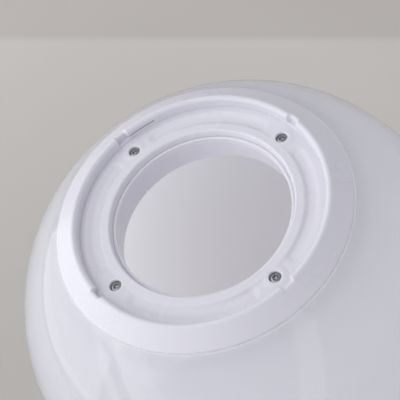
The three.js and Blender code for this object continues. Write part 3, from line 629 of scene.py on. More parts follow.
opal = plastic(
    "opal_plastic", (0.972, 0.975, 1.0), (0.962, 0.965, 0.99), rough=0.08, dust=0.02, relief=0.03,
    see_through=0.86, glow=(0.985, 0.991, 1.0), polished=True, Mottle_Scale=9.0, Wave_Scale=14.0,
    Wave=0.8, Grain=0.02)
# Satin inside, with a colour painted a little bluer for the light seen inside the shade.
opal_inside = plastic(
    "opal_plastic_inside", (0.965, 0.96, 1.0), (0.955, 0.95, 0.99), rough=0.4, dust=0.02,
    relief=0.03, see_through=0.88, glow=(0.977, 0.974, 1.0), Mottle_Scale=9.0, Wave_Scale=14.0,
    Wave=0.8, Grain=0.02)
opal_solid = plastic(
    "opal_plastic_solid", (0.9, 0.9, 0.935), (0.88, 0.88, 0.915), rough=0.15, dust=0.05,
    relief=0.03, see_through=0.2, glow=(0.98, 0.98, 1.0), polished=True, scatter=1.5,
    Mottle_Scale=30.0, Wave_Scale=60.0, Wave=0.5)
opal_diffuser = plastic(
    "opal_plastic_diffuser", (0.93, 0.93, 0.945), (0.92, 0.92, 0.935), dust=0.03, relief=0.02,
    see_through=0.45, glow=(0.98, 0.98, 0.99), Mottle_Scale=30.0, Wave_Scale=60.0, Wave=0.3)
collar_white = plastic(
    "collar_plastic", (0.785, 0.773, 0.825), (0.76, 0.748, 0.80), rough=0.25, dust=0.07,
    relief=0.03, scatter=0.6, Mottle_Scale=30.0, Wave_Scale=60.0, Wave=0.5, Grain_Scale=700.0,
    Grain=0.05)
rubber = plastic(
    "gasket_rubber", (0.42, 0.415, 0.43), (0.36, 0.355, 0.37), rough=0.75, dust=0.2, relief=0.03,
    Mottle_Scale=120.0, Grain_Scale=1800.0, Grain=0.6)
print("plastics:", opal.name, collar_white.name, rubber.name)

# %% [markdown]
# ## The shade shell
# It is blown like a bottle: one thin white wall, round above, drawn in to a neck below, and turned
# in to a sunk land round the mouth, where the collar sits. The outline is an arc above the widest
# line and r = R cos(a)^1.7, h = -R sqrt(1.7) sin(a) below it, which has the same curve where they
# meet. One mesh has both faces of the wall, and the faces that look inwards get the satin finish.

# %% Sizes of the shade, in mm from the screw heads' tops
SHADE_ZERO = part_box("collar_screw_1")[1].z / MM
IN_SHADE = np.array([0, 0, SHADE_ZERO])
BALL, WALL, TAPER = 125.0, 2.2, 1.7
MOUTH, SHOULDER, TURN = 45.5, 74.0, 2.4
FLOOR_TOP, FLOOR_UNDER = 0.6, -1.6
LAND_TOP, LAND_UNDER, SHOULDER_Z = -2.6, -4.8, -0.76
CENTRE_Z = SHOULDER_Z - np.sqrt(BALL**2 - SHOULDER**2)
NECK, NECK_BORE, NECK_LENGTH = 10.0, 7.0, 6.0
print("shade's zero height:", round(SHADE_ZERO, 2), "mm; ball's centre:", round(CENTRE_Z, 2))


# %% The shell's curves
def belly(radius, reach, steps):
    """The lower curve from the widest line down to a radius: r = R cos(a)^t and
    h = -R sqrt(t) sin(a)."""
    a = np.linspace(0, np.arccos((reach / radius) ** (1 / TAPER)), steps)
    return np.c_[radius * np.cos(a) ** TAPER, CENTRE_Z - radius * np.sqrt(TAPER) * np.sin(a)]


def ball(radius, top, steps):
    """The upper arc from the widest line up to a height."""
    a = np.linspace(0, np.arcsin((top - CENTRE_Z) / radius), steps)
    return np.c_[radius * np.cos(a), CENTRE_Z + radius * np.sin(a)]


BELLY_STEPS, BALL_STEPS = 70, 80
ARC_END = 0.6  # the arcs stop this far below their corners, which are rounded with their neighbours
outer_belly = belly(BALL, NECK, BELLY_STEPS)[::-1]
neck_foot = outer_belly[0, 1] - NECK_LENGTH
outer_ball = ball(BALL, SHOULDER_Z - ARC_END, BALL_STEPS)[1:]
inner_ball = ball(BALL - WALL, LAND_UNDER - ARC_END, BALL_STEPS)[::-1]
inner_belly = belly(BALL - WALL, NECK_BORE, BELLY_STEPS)[1:]
print("widest line at", round(CENTRE_Z, 2), "mm, neck's foot at", round(neck_foot, 2))

# %% The shell
shoulder = rounded(
    [outer_ball[-1], (SHOULDER + 0.2, SHOULDER_Z - 0.15, 0.35), (SHOULDER - TURN, LAND_TOP, 0.9),
     (MOUTH, LAND_TOP, 0.8), (MOUTH, LAND_UNDER, 0.5), ball(BALL - WALL, LAND_UNDER, 2)[1], (0, 0)],
    steps=5, closed=False)[1:-1]
neck = rounded(
    [inner_belly[-1], (NECK_BORE, neck_foot, 0.5), (NECK, neck_foot, 0.6), outer_belly[0]],
    closed=False)[1:-1]
shell_outline = np.concatenate([outer_belly, outer_ball, shoulder, inner_ball, inner_belly, neck])
shell = add_piece("shade_shell_skin", turned(shell_outline, 200), "shade", "shade_shell", opal,
                  IN_SHADE)
# The inward faces get the satin finish, whose bluer colour is painted for the light inside the
# shade.
shell.data.materials.append(opal_inside)
count = len(shell.data.polygons)
middles, normals = np.empty(3 * count), np.empty(3 * count)
shell.data.polygons.foreach_get("center", middles)
shell.data.polygons.foreach_get("normal", normals)
from_middle = middles.reshape(-1, 3) - np.array([0, 0, SHADE_ZERO + CENTRE_Z]) * MM
inside = (from_middle * normals.reshape(-1, 3)).sum(1) < 0
shell.data.polygons.foreach_set("material_index", inside.astype(np.int32))
print("shell:", count, "faces,", int(inside.sum()), "of them inside")

# %% [markdown]
# ## The collar
# The collar is one moulding, so it is one surface. Its cross-section changes round the ring: at
# four places the rim is cut by a notch for the base's lugs, and from each notch a groove runs on
# inside the rim for the turn that locks the shade. So each column of the grid takes the section of
# its own angle.

# %% Where the collar's features are, by angle
SITES = np.radians([45.0, 135.0, 225.0, 315.0])  # the four screws, each beside its notch
SCREW_CIRCLE = 54.0
NOTCH, CHEEK, GROOVE, SOFT = 2.72, 3.85, 17.4, 0.68  # degrees from a site, half a change's width
BOUNDS = np.array([-GROOVE, -CHEEK, -NOTCH, NOTCH, CHEEK])
ORDER = ["plain", "groove", "cheek_groove", "notch", "cheek", "plain"]
RING = np.array([0, 0.8, 1.6, 2.3, 2.8, 2.95, 3.0, 3.15, 3.35, 3.9, 4.5, 4.56, 5.0, 5.4, 5.6, 5.8,
                 6.0, 6.3, 6.7])
near = np.concatenate([-RING[:0:-1], RING])  # distances from a screw, in mm, both ways


def collar_angles():
    """Columns: close together round each screw, across each change of section, and at the
    channels' round ends, and 1.7 degrees apart elsewhere."""
    own = np.degrees(near / SCREW_CIRCLE)
    changes = (BOUNDS[:, None] + SOFT * np.linspace(-1, 1, 7)).ravel()
    ends, plain = np.arange(7.7, 15.5, 0.85), np.arange(16.8, 44, 1.7)
    more = np.concatenate([changes, ends, -ends, plain, -plain, [-45]])
    more = more[np.abs(more[:, None] - own).min(1) > 0.05]
    return np.sort((np.degrees(SITES)[:, None] + np.concatenate([own, more])).ravel() % 360)


def soft_step(x, low, high):
    """0 below low, 1 above high, and 3t^2 - 2t^3 between them."""
    t = np.clip((x - low) / (high - low), 0, 1)
    return t * t * (3 - 2 * t)


def soft_fall(x, low, high):
    """1 below low, 0 above high, and the same curve between them."""
    return soft_step(-x, -high, -low)


angles = np.radians(collar_angles())
offset = (np.degrees(angles)) % 90 - 45  # degrees from the nearest screw
print("collar columns:", len(angles))

# %% The rim's five sections
RIM_OUT, RIM_IN, FOOT_IN, SKIRT = 66.3, 61.5, 66.2, 73.6  # radii
NOTCH_IN, GROOVE_IN, GROOVE_LOW, GROOVE_HIGH = 63.5, 63.28, 2.22, 3.38
NOTCH_FLOOR, SKIRT_UNDER = 1.8, -0.70


def rim_section(kind):
    """Corners (radius, height, softness) from the skirt's underside over the rim to the floor."""
    crest = [(RIM_OUT, 5.21, 0.3), (65.3, 5.86, 0.3), (64.1, 6.65, 0.8), (62.9, 6.75, 0.8),
             (RIM_IN, 5.75, 1.1)]
    wall = [(RIM_IN, 3.9), (RIM_IN, 3.0), (RIM_IN, 2.4), (RIM_IN, NOTCH_FLOOR)]
    if kind in ("cheek", "cheek_groove"):
        crest[:4] = [(RIM_OUT, 5.21, 0.4), (65.6, 5.75, 0.6), (64.4, 6.6, 0.6), (63.0, 6.8, 0.8)]
    if kind == "notch":
        crest = [(RIM_OUT, 5.15, 0.4), (65.6, 5.6, 0.6), (64.9, 5.9, 0.5), (64.2, 5.85, 0.4),
                 (NOTCH_IN, 5.3, 0.5)]
        wall = [(NOTCH_IN, 3.6), (NOTCH_IN, 3.0), (NOTCH_IN, NOTCH_FLOOR, 0.4),
                (RIM_IN, NOTCH_FLOOR, 0.5)]
    if kind in ("groove", "cheek_groove"):
        wall = [(RIM_IN, GROOVE_HIGH, 0.3), (GROOVE_IN, GROOVE_HIGH), (GROOVE_IN, GROOVE_LOW),
                (RIM_IN, GROOVE_LOW, 0.3)]
    foot = [(61, FLOOR_UNDER), (FOOT_IN, FLOOR_UNDER, 0.2), (FOOT_IN, 2.0, 0.3),
            (72, SKIRT_UNDER, 0.2), (SKIRT, SKIRT_UNDER, 0.15), (SKIRT, 0.45, 0.3)]
    return rounded(foot + crest + wall + [(RIM_IN, FLOOR_TOP, 0.7), (61, FLOOR_TOP)], closed=False)


sections = {kind: rim_section(kind) for kind in set(ORDER)}
rim_rows = np.repeat(sections["plain"][:, None], len(angles), 1)  # (row, column, radius and height)
for bound, first, second in zip(BOUNDS, ORDER, ORDER[1:]):
    share = soft_step(offset, bound - SOFT, bound + SOFT)[None, :, None]
    rim_rows = rim_rows + share * (sections[second] - sections[first])[:, None]
print("rim rows:", rim_rows.shape[0], "columns:", rim_rows.shape[1])

# %% The floor's relief
ROUND_UNTIL = (6.05, 6.7)  # mm from a screw between which circles go over into the plain grid
RAISED, SUNK = 0.3, 0.7  # mm of the ridge and pads above the plain floor, and of the channels below
MOUTH_RIDGE, PAD, CHANNEL = (50.3, 52.0), (4.2, 6.9), (0.9, 4.6)  # start and end of each slope
CHANNEL_FROM, CHANNEL_END = 10.4, 3.5  # degrees from a screw, and mm more to its end's middle
MM_PER_DEGREE = SCREW_CIRCLE / 57.3  # along the screws' circle
BORE_RADII, BORE_HEIGHTS = [2.95, 3.0, 3.15, 3.35], [-1.9, 0.65, 0.84, 0.9]


def screw_square(radius, angle):
    """Moves grid points near a screw from squares onto circles, so that round features lie on grid
    lines. With u along the ring and v outward, a point at q = max(|u|, |v|) goes to distance q."""
    turns = np.abs(np.angle(np.exp(1j * (angle[None] - SITES[:, None, None]))))
    site = SITES[np.argmin(turns, 0)]
    u = SCREW_CIRCLE * np.angle(np.exp(1j * (angle - site)))
    v = radius - SCREW_CIRCLE
    q, away = np.maximum(np.abs(u), np.abs(v)), np.hypot(u, v) + 1e-9
    scale = 1 + (1 - soft_step(q, *ROUND_UNTIL)) * (q / away - 1)
    return SCREW_CIRCLE + v * scale, site + u * scale / SCREW_CIRCLE, away * scale


def floor_height(radius, angle, to_screw):
    """The floor's top: a low ridge round the mouth and a pad round each screw, a shallow channel
    with soft sides between the pads, and a round counterbore for each head."""
    raised = np.maximum(soft_fall(radius, *MOUTH_RIDGE), soft_fall(to_screw, *PAD))
    from_screw = np.abs(np.degrees(np.angle(np.exp(4j * (angle - SITES[0]))) / 4))
    along = (from_screw - CHANNEL_FROM) * MM_PER_DEGREE
    from_line = np.hypot(radius - SCREW_CIRCLE, np.minimum(along - CHANNEL_END, 0))
    height = FLOOR_TOP + RAISED * raised - SUNK * soft_fall(from_line, *CHANNEL) * (1 - raised)
    hole = np.interp(to_screw, BORE_RADII, BORE_HEIGHTS)
    return np.where(to_screw < BORE_RADII[-1], hole, height)


grid_radii, grid_angles = np.broadcast_arrays(SCREW_CIRCLE + near[::-1, None], angles[None, :])
floor_r, floor_a, to_screw = screw_square(grid_radii, grid_angles)
floor_h = floor_height(floor_r, floor_a, to_screw)
print("floor between", round(float(floor_h.min()), 2), "and", round(float(floor_h.max()), 2), "mm")

# %% Lip, underside and the whole collar
LIP_MIDDLE, LIP_RADIUS = (47.3, -0.3), 1.3
BOSS, BOSS_UNDER = 4.53, -4.0  # radius and foot of the boss that goes into the land at each screw
lip_turn = np.radians(np.linspace(90, 180, 8))[1:]
lip = np.array(LIP_MIDDLE) + LIP_RADIUS * np.c_[np.cos(lip_turn), np.sin(lip_turn)]
bore = [(45.93, -0.9), (45.7, -1.8), (45.44, -2.75), (45.46, -2.85), (45.6, -2.82), (46.3, -2.5),
        (46.45, FLOOR_UNDER)]  # down to a drip edge, and back out to the underside
floors = around(np.stack([floor_r, floor_h], -1), floor_a)
unders = floors[::-1].copy()
unders[..., 2] = np.where(to_screw[::-1] < BOSS, BOSS_UNDER, FLOOR_UNDER)
inner = around(np.concatenate([lip, bore]), angles)
collar_grid = np.concatenate([around(rim_rows, angles), floors, inner, unders])
collar = add_piece("collar_moulding", grid_shell(collar_grid), "shade", "collar", collar_white,
                   IN_SHADE, sharp=42)
print("collar:", collar_grid.shape[:2], "points,", round(collar.dimensions.x / MM, 1), "mm wide")

# %% [markdown]
# ## The clamp ring and the gasket
# The four screws pull this second ring up against the inside of the shell, so the thin wall is held
# between the two. In the photograph it is the second, slightly smaller lip inside the mouth, with a
# wall that flares as it goes down. Each screw runs into a round boss outside that wall. The gasket
# keeps the frame's shape and only gets its rubber.

# %% Clamp ring
CLAMP_UNDER, CLAMP_FOOT, BOSS_FOOT = LAND_UNDER - 2.2, LAND_UNDER - 17.2, LAND_UNDER - 9.7
CLAMP_EDGE, CLAMP_WALL = 66.0, 45.46
clamp_outline = rounded(
    [(46.4, CLAMP_FOOT, 0.5), (48.2, CLAMP_FOOT, 0.5), (45.8, CLAMP_UNDER, 0.9),
     (CLAMP_EDGE, CLAMP_UNDER, 0.4), (CLAMP_EDGE, LAND_UNDER, 0.3), (CLAMP_WALL, LAND_UNDER, 0.1),
     (CLAMP_WALL, LAND_UNDER + 1.98, 0.05), (45.0, LAND_UNDER + 2.2, 0.2),
     (43.9, LAND_UNDER + 2.1, 0.7), (43.8, LAND_UNDER - 1.2, 0.5)])
clamp_boss = turned(rounded(
    [(1.7, BOSS_FOOT, 0.15), (3.8, BOSS_FOOT, 0.5), (4.0, CLAMP_UNDER + 0.8, 0.2),
     (1.7, CLAMP_UNDER + 0.8, 0.1)]), 40)
screw_places = SCREW_CIRCLE * np.stack([np.cos(SITES), np.sin(SITES), 0 * SITES], 1)
bosses = [(clamp_boss[0] + place, clamp_boss[1]) for place in screw_places]
clamp = add_piece("clamp_ring_moulding", joined([turned(clamp_outline, 192)] + bosses), "shade",
                  "clamp_ring", collar_white, IN_SHADE)
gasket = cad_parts["neck_gasket"]
gasket.data.materials.clear()
gasket.data.materials.append(rubber)
print("clamp ring from", round(CLAMP_FOOT, 1), "to", round(LAND_UNDER + 2.2, 1), "mm")

# %% [markdown]
# ## The balloon's knot
# A balloon shade hides its moulding's lower opening behind a tied-off tail. It is one moulded plug:
# a spigot up the neck, a roll, a pinched waist, and a flared end. Real rubber gathers into soft
# pleats where it is tied, so the radius dips in and out with the angle, most at the waist.

# %% Knot
ROLL_FOOT, TAIL_FOOT, SPIGOT_TOP = neck_foot - 9, neck_foot - 22, neck_foot + 14
PLEATS, FINE_PLEATS = 11, 17  # round the knot
knot_rows = rounded([
    (0, TAIL_FOOT + 5), (6, TAIL_FOOT + 4.3, 2), (12.2, TAIL_FOOT + 0.3, 1.0),
    (13.4, TAIL_FOOT, 0.6), (14, TAIL_FOOT + 1.4, 0.6), (12.2, TAIL_FOOT + 4.6, 1.5),
    (8.4, ROLL_FOOT - 4.6, 2), (6.4, ROLL_FOOT - 1.2, 1.2), (6.6, ROLL_FOOT + 0.2, 0.5),
    (10.2, ROLL_FOOT + 0.9, 1.4), (12, ROLL_FOOT + 3.6, 1.8), (11.6, ROLL_FOOT + 6.6, 1.4),
    (9.6, neck_foot - 0.1, 0.9), (6.7, neck_foot, 0.3), (6.7, SPIGOT_TOP - 0.6, 0.4),
    (6.1, SPIGOT_TOP, 0.3), (0, SPIGOT_TOP),
], steps=5, closed=False)
depth = np.interp(
    knot_rows[:, 1],
    [TAIL_FOOT, TAIL_FOOT + 4, ROLL_FOOT - 4, ROLL_FOOT, ROLL_FOOT + 4, neck_foot - 0.5],
    [0.06, 0.10, 0.26, 0.20, 0.06, 0.0])
turn = angles_round(144)
# The first wave's angle sways three times round, so that no two pleats are equally wide.
pleat = 0.5 - 0.5 * np.cos(PLEATS * turn + 0.7 * np.sin(3 * turn))
pleat = 0.65 * pleat + 0.35 * (0.5 - 0.5 * np.cos(FINE_PLEATS * turn + 1.1))
knot_grid = around(knot_rows, turn)
knot_grid[..., :2] *= (1 - depth[:, None] * pleat[None, :])[..., None]
knot = add_piece("knot_and_tail", grid_shell(knot_grid, poles=True), "shade", "balloon_knot",
                 opal_solid, IN_SHADE)
print("knot from", round(TAIL_FOOT, 1), "to", round(SPIGOT_TOP, 1), "mm")

# %% [markdown]
# ## The retainer and the screws
# A push-on spring ring with teeth grips the knot's spigot inside the shell. The screws are turned
# and rolled: a low dome with a cross pressed into it, and a rolled thread, which is a wave that
# climbs one pitch for each turn. Both are height or radius formulas over the same kind of grid.

# %% Spring retainer
TEETH, BORE, TOOTH_ROOT, SHEET = 9, 7.05, 8.8, 0.5
low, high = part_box("knot_retainer")[0].z / MM + 0.05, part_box("knot_retainer")[1].z / MM
turn = angles_round(180)
tooth = soft_step(np.cos(TEETH * turn), -0.55, -0.2)  # 1 on a tooth, 0 in a slot
ring_rows = rounded([(BORE, high - SHEET, 0.15), (8.9, low, 0.3), (11, low, 0.25),
                     (11, low + SHEET, 0.25), (9.2, low + SHEET, 0.3), (BORE, high, 0.15)])
shrink = np.where(ring_rows[:, :1] < TOOTH_ROOT, TOOTH_ROOT / ring_rows[:, :1], 1.0)
ring_grid = around(ring_rows, turn)
ring_grid[..., :2] *= (shrink + (1 - shrink) * tooth[None, :])[..., None]
add_piece("spring_retainer", grid_shell(ring_grid), "shade", "knot_retainer", zinc)
print("retainer between", round(low, 1), "and", round(high, 1), "mm")


# %% A screw's thread and top
DOME_FALL, CROSS_REACH, CROSS_WIDE, CROSS_DEEP = 0.28, 0.56, 0.13, 0.6  # shares of the head
SLOT_DEEP, SLOT_HALF = 0.8, (0.38, 0.46)  # mm; its walls slope between the two


def thread_radius(height, angle, radius, depth, pitch):
    """radius - depth (1 - |2w - 1|)^1.3, with w = height / pitch - angle / a full turn."""
    wave = np.abs(((height / pitch - angle / (2 * np.pi)) % 1) * 2 - 1)
    return radius - depth * (1 - wave) ** 1.3


def screw_top(x, y, r, head, height, drive):
    """Height of a screw's top: a dome -0.28 height (r / head)^2.2, less a cross or a slot with
    sloping walls. The cross is deepest in its middle."""
    dome = -DOME_FALL * height * (r / head) ** 2.2
    if drive == "slot":
        return dome - SLOT_DEEP * soft_fall(np.abs(x), *SLOT_HALF)
    reach, wide = CROSS_REACH * head, CROSS_WIDE * head
    arm = np.minimum(np.abs(x), np.abs(y)) - wide
    end = np.maximum(np.abs(x), np.abs(y))
    inside = soft_fall(arm, 0.0, wide) * soft_fall(end, 0.62 * reach, reach)
    return dome - CROSS_DEEP * height * inside * (1 - 0.35 * soft_step(r, 0.1 * reach, reach))


deepest = 1 - thread_radius(np.linspace(0, 1, 9), 0, 1, 0.3, 1).min()
print("a 0.3 mm thread cuts", round(float(deepest), 2), "mm deep, half a pitch from its crest")

# %% A screw of any size
HEAD_EDGE, HEAD_ROWS = 0.12, 25  # mm from the top's edge to the rim, and rows of the top
THREAD_STEP, RUN_IN, RUN_OUT = 0.1, 1.2, 1.6  # mm between rows, and over which the thread fades


def screw_part(head, height, shank, length, drive, pitch, thread, columns=72):
    """A screw along Z with its head's top at 0 and its shank going down. The thread fades out at
    both ends, where the shank is thinner by 0.35 of its depth, and ends in a short cone."""
    angle = angles_round(columns)
    r = np.linspace(0, 1, HEAD_ROWS + 1)[1:, None] * (head - HEAD_EDGE)
    x, y = r * np.cos(angle), r * np.sin(angle)
    top = np.stack([x, y, screw_top(x, y, r, head, height, drive) + 0 * x], -1)[::-1]
    rim = [(head, -0.42 * height), (head, -0.8 * height), (head - HEAD_EDGE, -height),
           (shank + 0.25, -height)]
    edge = around(np.array(rim), angle)
    foot = -length - height + 1.0
    z = np.arange(-height - THREAD_STEP, foot, -THREAD_STEP)[:, None]
    run = np.clip((-z - height) / RUN_IN, 0, 1) * np.clip((z + length + height) / RUN_OUT, 0, 1)
    cut = thread * (run > 0.05)
    radius = thread_radius(z, angle, shank, cut, pitch) - thread * 0.35 * (1 - run)
    body = around(np.stack([radius, z + 0 * angle], -1), angle)
    cone = around(np.stack([radius[-1:] * 0.55, np.full((1, columns), foot - 0.8)], -1), angle)
    ends = [np.zeros((1, columns, 3)) + (0, 0, h) for h in (foot - 1.0, float(top[-1, 0, 2]))]
    rows = np.concatenate([ends[0], cone, body[::-1], edge[::-1], top, ends[1]])
    return grid_shell(rows, poles=True)


collar_screw = screw_part(2.8, 1.9, 1.45, 12, "cross", 1.15, 0.32)
print("a screw has", sum(len(f) for f in collar_screw[1]), "faces")

# %% The collar's screws, each left at its own turn
# The screws take the darkened steel, which paints the shade of their counterbores.
for i, place in enumerate(screw_places):
    add_piece(f"pan_screw_{i + 1}", turned_by(collar_screw, 0.35 + 1.9 * i), "shade",
              f"collar_screw_{i + 1}", shaded_screw_metal, place + IN_SHADE)
print("collar screws:", len(screw_places))

# %% [markdown]
# ## Finishes of the base
# The base has the finishes of any lamp fitting: sprayed enamel with its orange peel, zinc, brass,
# soft foam, a hard white moulding for the lampholder, and PVC on the wires. Each is the moulded
# skin or the turned metal group again, with its own colours and scales.

# %% More materials
enamel = plastic(
    "sprayed_enamel", (0.84, 0.83, 0.81), (0.80, 0.79, 0.77), rough=0.36, dust=0.12, relief=0.03,
    Mottle_Scale=25.0, Wave_Scale=650.0, Wave=0.7, Grain_Scale=2500.0, Grain=0.2,
    Roughness_Spread=0.12)
foam = plastic(
    "foam_seal", (0.70, 0.69, 0.67), (0.60, 0.59, 0.57), rough=0.9, dust=0.05, relief=0.12,
    Mottle_Scale=900.0, Wave_Scale=1500.0, Wave=0.8, Grain_Scale=4000.0, Grain=0.5)
holder_white = plastic(
    "holder_moulding", (0.82, 0.81, 0.78), (0.78, 0.77, 0.74), rough=0.38, dust=0.08,
    Mottle_Scale=70.0, Wave_Scale=90.0, Wave=0.4, Grain_Scale=1600.0, Grain=0.3)
black_glass = plastic(
    "black_insulator", (0.025, 0.025, 0.03), (0.05, 0.05, 0.055), rough=0.12, dust=0.15,
    relief=0.01, Mottle_Scale=300.0, Grain_Scale=900.0)
nylon = plastic(
    "terminal_nylon", (0.74, 0.72, 0.64), (0.69, 0.67, 0.59), rough=0.45, dust=0.12,
    see_through=0.15, Mottle_Scale=120.0, Grain_Scale=1500.0)
brown_pvc, blue_pvc, green_pvc = (
    plastic(f"{name}_insulation", colour, second, rough=0.42, Mottle_Scale=250.0,
            Grain_Scale=1800.0)
    for name, colour, second in (
        ("brown", (0.13, 0.05, 0.025), (0.10, 0.038, 0.02)),
        ("blue", (0.03, 0.14, 0.42), (0.025, 0.11, 0.36)),
        ("green", (0.10, 0.32, 0.06), (0.085, 0.27, 0.05)),
    )
)
brass = metal("rolled_brass", (0.72, 0.50, 0.20), (0.50, 0.34, 0.13), rough=0.26, Patch_Scale=220.0)
aluminium = metal("drawn_aluminium", (0.76, 0.765, 0.77), (0.62, 0.625, 0.63), Patch_Scale=160.0)
print("materials so far:", len(bpy.data.materials))

# %% [markdown]
# ## The ceiling plate
# A round pan pressed from 1 mm steel. Its middle is drawn down into a cup for the wiring, and four
# lugs stand out from its edge. They pass the collar's notches and slide along its grooves. A
# pressing has a soft bend everywhere, so the outline's corners are all rounded, and the lugs are
# soft slabs. From here on, heights are in mm from the ceiling, so they are negative.


# %% Helper: a slab with soft edges
def slab(outline, low, high, edge, steps=3):
    """A flat piece from a convex counterclockwise outline of (x, y) in mm. Its two rims are quarter
    rounds: the outline moves in by edge(1 - cos t) while the height moves by edge(1 - sin t)."""
    outline = np.asarray(outline, float)
    run = np.roll(outline, -1, 0) - np.roll(outline, 1, 0)
    normal = np.stack([run[:, 1], -run[:, 0]], 1) / (np.linalg.norm(run, axis=1)[:, None] + 1e-9)
    t = np.linspace(0, np.pi / 2, steps + 1)
    inset = np.concatenate([edge * (1 - np.sin(t)), edge * (1 - np.cos(t))])
    level = np.concatenate([low + edge * (1 - np.cos(t)), high - edge * (1 - np.sin(t))])
    rim = outline[None] - normal[None] * inset[:, None, None]
    rows = np.concatenate([rim, np.broadcast_to(level[:, None, None], rim.shape[:2] + (1,))], -1)
    middle = outline.mean(0)
    ends = [np.broadcast_to([*middle, h], (1,) + rows.shape[1:]) for h in (low, high)]
    return grid_shell(np.concatenate([ends[0], rows, ends[1]]), poles=True)


print("a square slab has", len(slab([(0, 0), (9, 0), (9, 9), (0, 9)], 0, 2, 0.5)[0]), "points")

# %% Ceiling plate and dust seal
PLATE, CUP, HOLE = 60.0, 40.0, 5.3  # radii
CUP_UNDER, CUP_FLOOR, PLATE_UNDER, PLATE_TOP, SEAL_UNDER = -24.0, -23.0, -5, -4, -6
plate_outline = rounded(
    [(HOLE, CUP_UNDER, 0.15), (CUP, CUP_UNDER, 3.4), (CUP, PLATE_UNDER, 0.3),
     (PLATE, PLATE_UNDER, 2.2), (PLATE, 0, 0.3), (PLATE - 1, 0, 0.3), (PLATE - 1, PLATE_TOP, 1.2),
     (CUP - 1, PLATE_TOP, 1.4), (CUP - 1, CUP_FLOOR, 2.4), (HOLE, CUP_FLOOR, 0.15)], 6)
lug_outline = rounded([(57.6, -2.3, 0.3), (63.2, -2.3, 0.9), (63.2, 2.3, 0.9), (57.6, 2.3, 0.3)])
lug = slab(lug_outline, PLATE_UNDER, PLATE_TOP, 0.25)
plate = add_piece(
    "ceiling_pan", joined([turned(plate_outline, 192)] + [turned_by(lug, site) for site in SITES]),
    "canopy", "ceiling_plate", enamel)
seal_outline = rounded([(CUP + 0.3, SEAL_UNDER, 0.35), (59, SEAL_UNDER, 0.35),
                        (59, PLATE_UNDER, 0.15), (CUP + 0.3, PLATE_UNDER, 0.15)])
add_piece("foam_ring", turned(seal_outline, 144), "seal", "dust_seal", foam)
print("plate:", [round(v / MM, 1) for v in plate.dimensions], "mm")

# %% [markdown]
# Some small stamped and moulded pieces are already right in the frame, but for their knife-sharp
# edges. A copy of each gets a Bevel modifier, which needs whole faces, so the loose triangles are
# merged first.

# %% Pieces that keep the frame's shape, with their edges softened
SOFT_TURN = 25  # degrees: edges that turn by more are softened
SOFTENED = {  # node: piece, body, bevel's width in mm, material and slot
    "ceiling_strap": ("fixing_strap", "canopy", 0.25, zinc, "steel"),
    "terminal_block": ("connector_block", "canopy", 0.35, nylon, "nylon"),
    "earth_tag": ("ring_tag", "canopy", 0.15, zinc, "steel"),
    "holder_insert": ("contact_carrier", "canopy", 0.3, holder_white, "phenolic"),
    "centre_contact": ("spring_tongue", "canopy", 0.08, brass, "brass"),
    "led_board": ("chip_board", "bulb", 0.15, aluminium, "aluminium"),
}


def softened_copy(node, name, body, width, material, slot):
    """A copy of a CAD piece with its loose triangles merged and its flat faces joined, whose sharp
    edges a Bevel modifier then rounds by width (mm)."""
    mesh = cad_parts[node].data.copy()
    mesh.name = name
    work = bmesh.new()
    work.from_mesh(mesh)
    bmesh.ops.remove_doubles(work, verts=work.verts, dist=2e-6)
    bmesh.ops.dissolve_limit(work, angle_limit=np.radians(1), verts=work.verts, edges=work.edges)
    work.to_mesh(mesh)
    work.free()
    piece = finished_piece(name, mesh, body, node, material, SOFT_TURN)
    bevel = piece.modifiers.new("soft_edges", "BEVEL")
    bevel.width, bevel.segments, bevel.limit_method = width * MM, 2, "ANGLE"
    bevel.angle_limit = np.radians(SOFT_TURN)


for node, looks in SOFTENED.items():
    softened_copy(node, *looks)
print("softened copies:", len(SOFTENED))

# %% [markdown]
# ## Fixings of the base
# Two screws with washers hold the pan up to the strap. A hollow threaded tube with a nut carries
# the lampholder and lets the wires through. A thread is a wave in the radius that climbs one pitch
# per turn, and a nut is a hexagon whose corners are cut off by a shallow cone.

# %% Threaded tube and nut
TUBE_TOP, TUBE_FOOT, TUBE_RADIUS, TUBE_BORE = -18.0, -32.0, 5.0, 3.6
turn = angles_round(96)
z = np.linspace(TUBE_FOOT + 0.3, TUBE_TOP - 0.3, 112)[:, None]
threaded = np.stack(np.broadcast_arrays(thread_radius(z, turn, TUBE_RADIUS, 0.3, 1.0), z), -1)
inside_rows = [(4.6, TUBE_TOP), (3.75, TUBE_TOP), (TUBE_BORE, TUBE_TOP - 0.2),
               (TUBE_BORE, TUBE_FOOT + 0.2), (3.75, TUBE_FOOT)]
tube_rows = [level_rows([(4.6, TUBE_FOOT)], 96), threaded, level_rows(inside_rows, 96)]
add_piece("threaded_tube", grid_shell(around(np.concatenate(tube_rows), turn)), "canopy",
          "nipple", zinc)

NUT_HALF, NUT_CONE = 7.0, 6.95  # half the width over its flats, and the radius its cones start at
nut_heights = np.array([-23.0, -23.0, -22.6, -19.9, -19.5, -19.5])[:, None]
hexagon = NUT_HALF / np.cos((turn + np.pi / 6) % (np.pi / 3) - np.pi / 6)
chamfered, bored = np.minimum(hexagon, NUT_CONE), HOLE + 0 * turn
nut_radii = np.stack([bored, chamfered, hexagon, hexagon, chamfered, bored])
nut_grid = around(np.stack([nut_radii, nut_heights + 0 * turn], -1), turn)
add_piece("hexagon_nut", grid_shell(nut_grid), "canopy", "nipple_nut", zinc, sharp=28)
print("tube from", TUBE_FOOT, "to", TUBE_TOP, "mm")

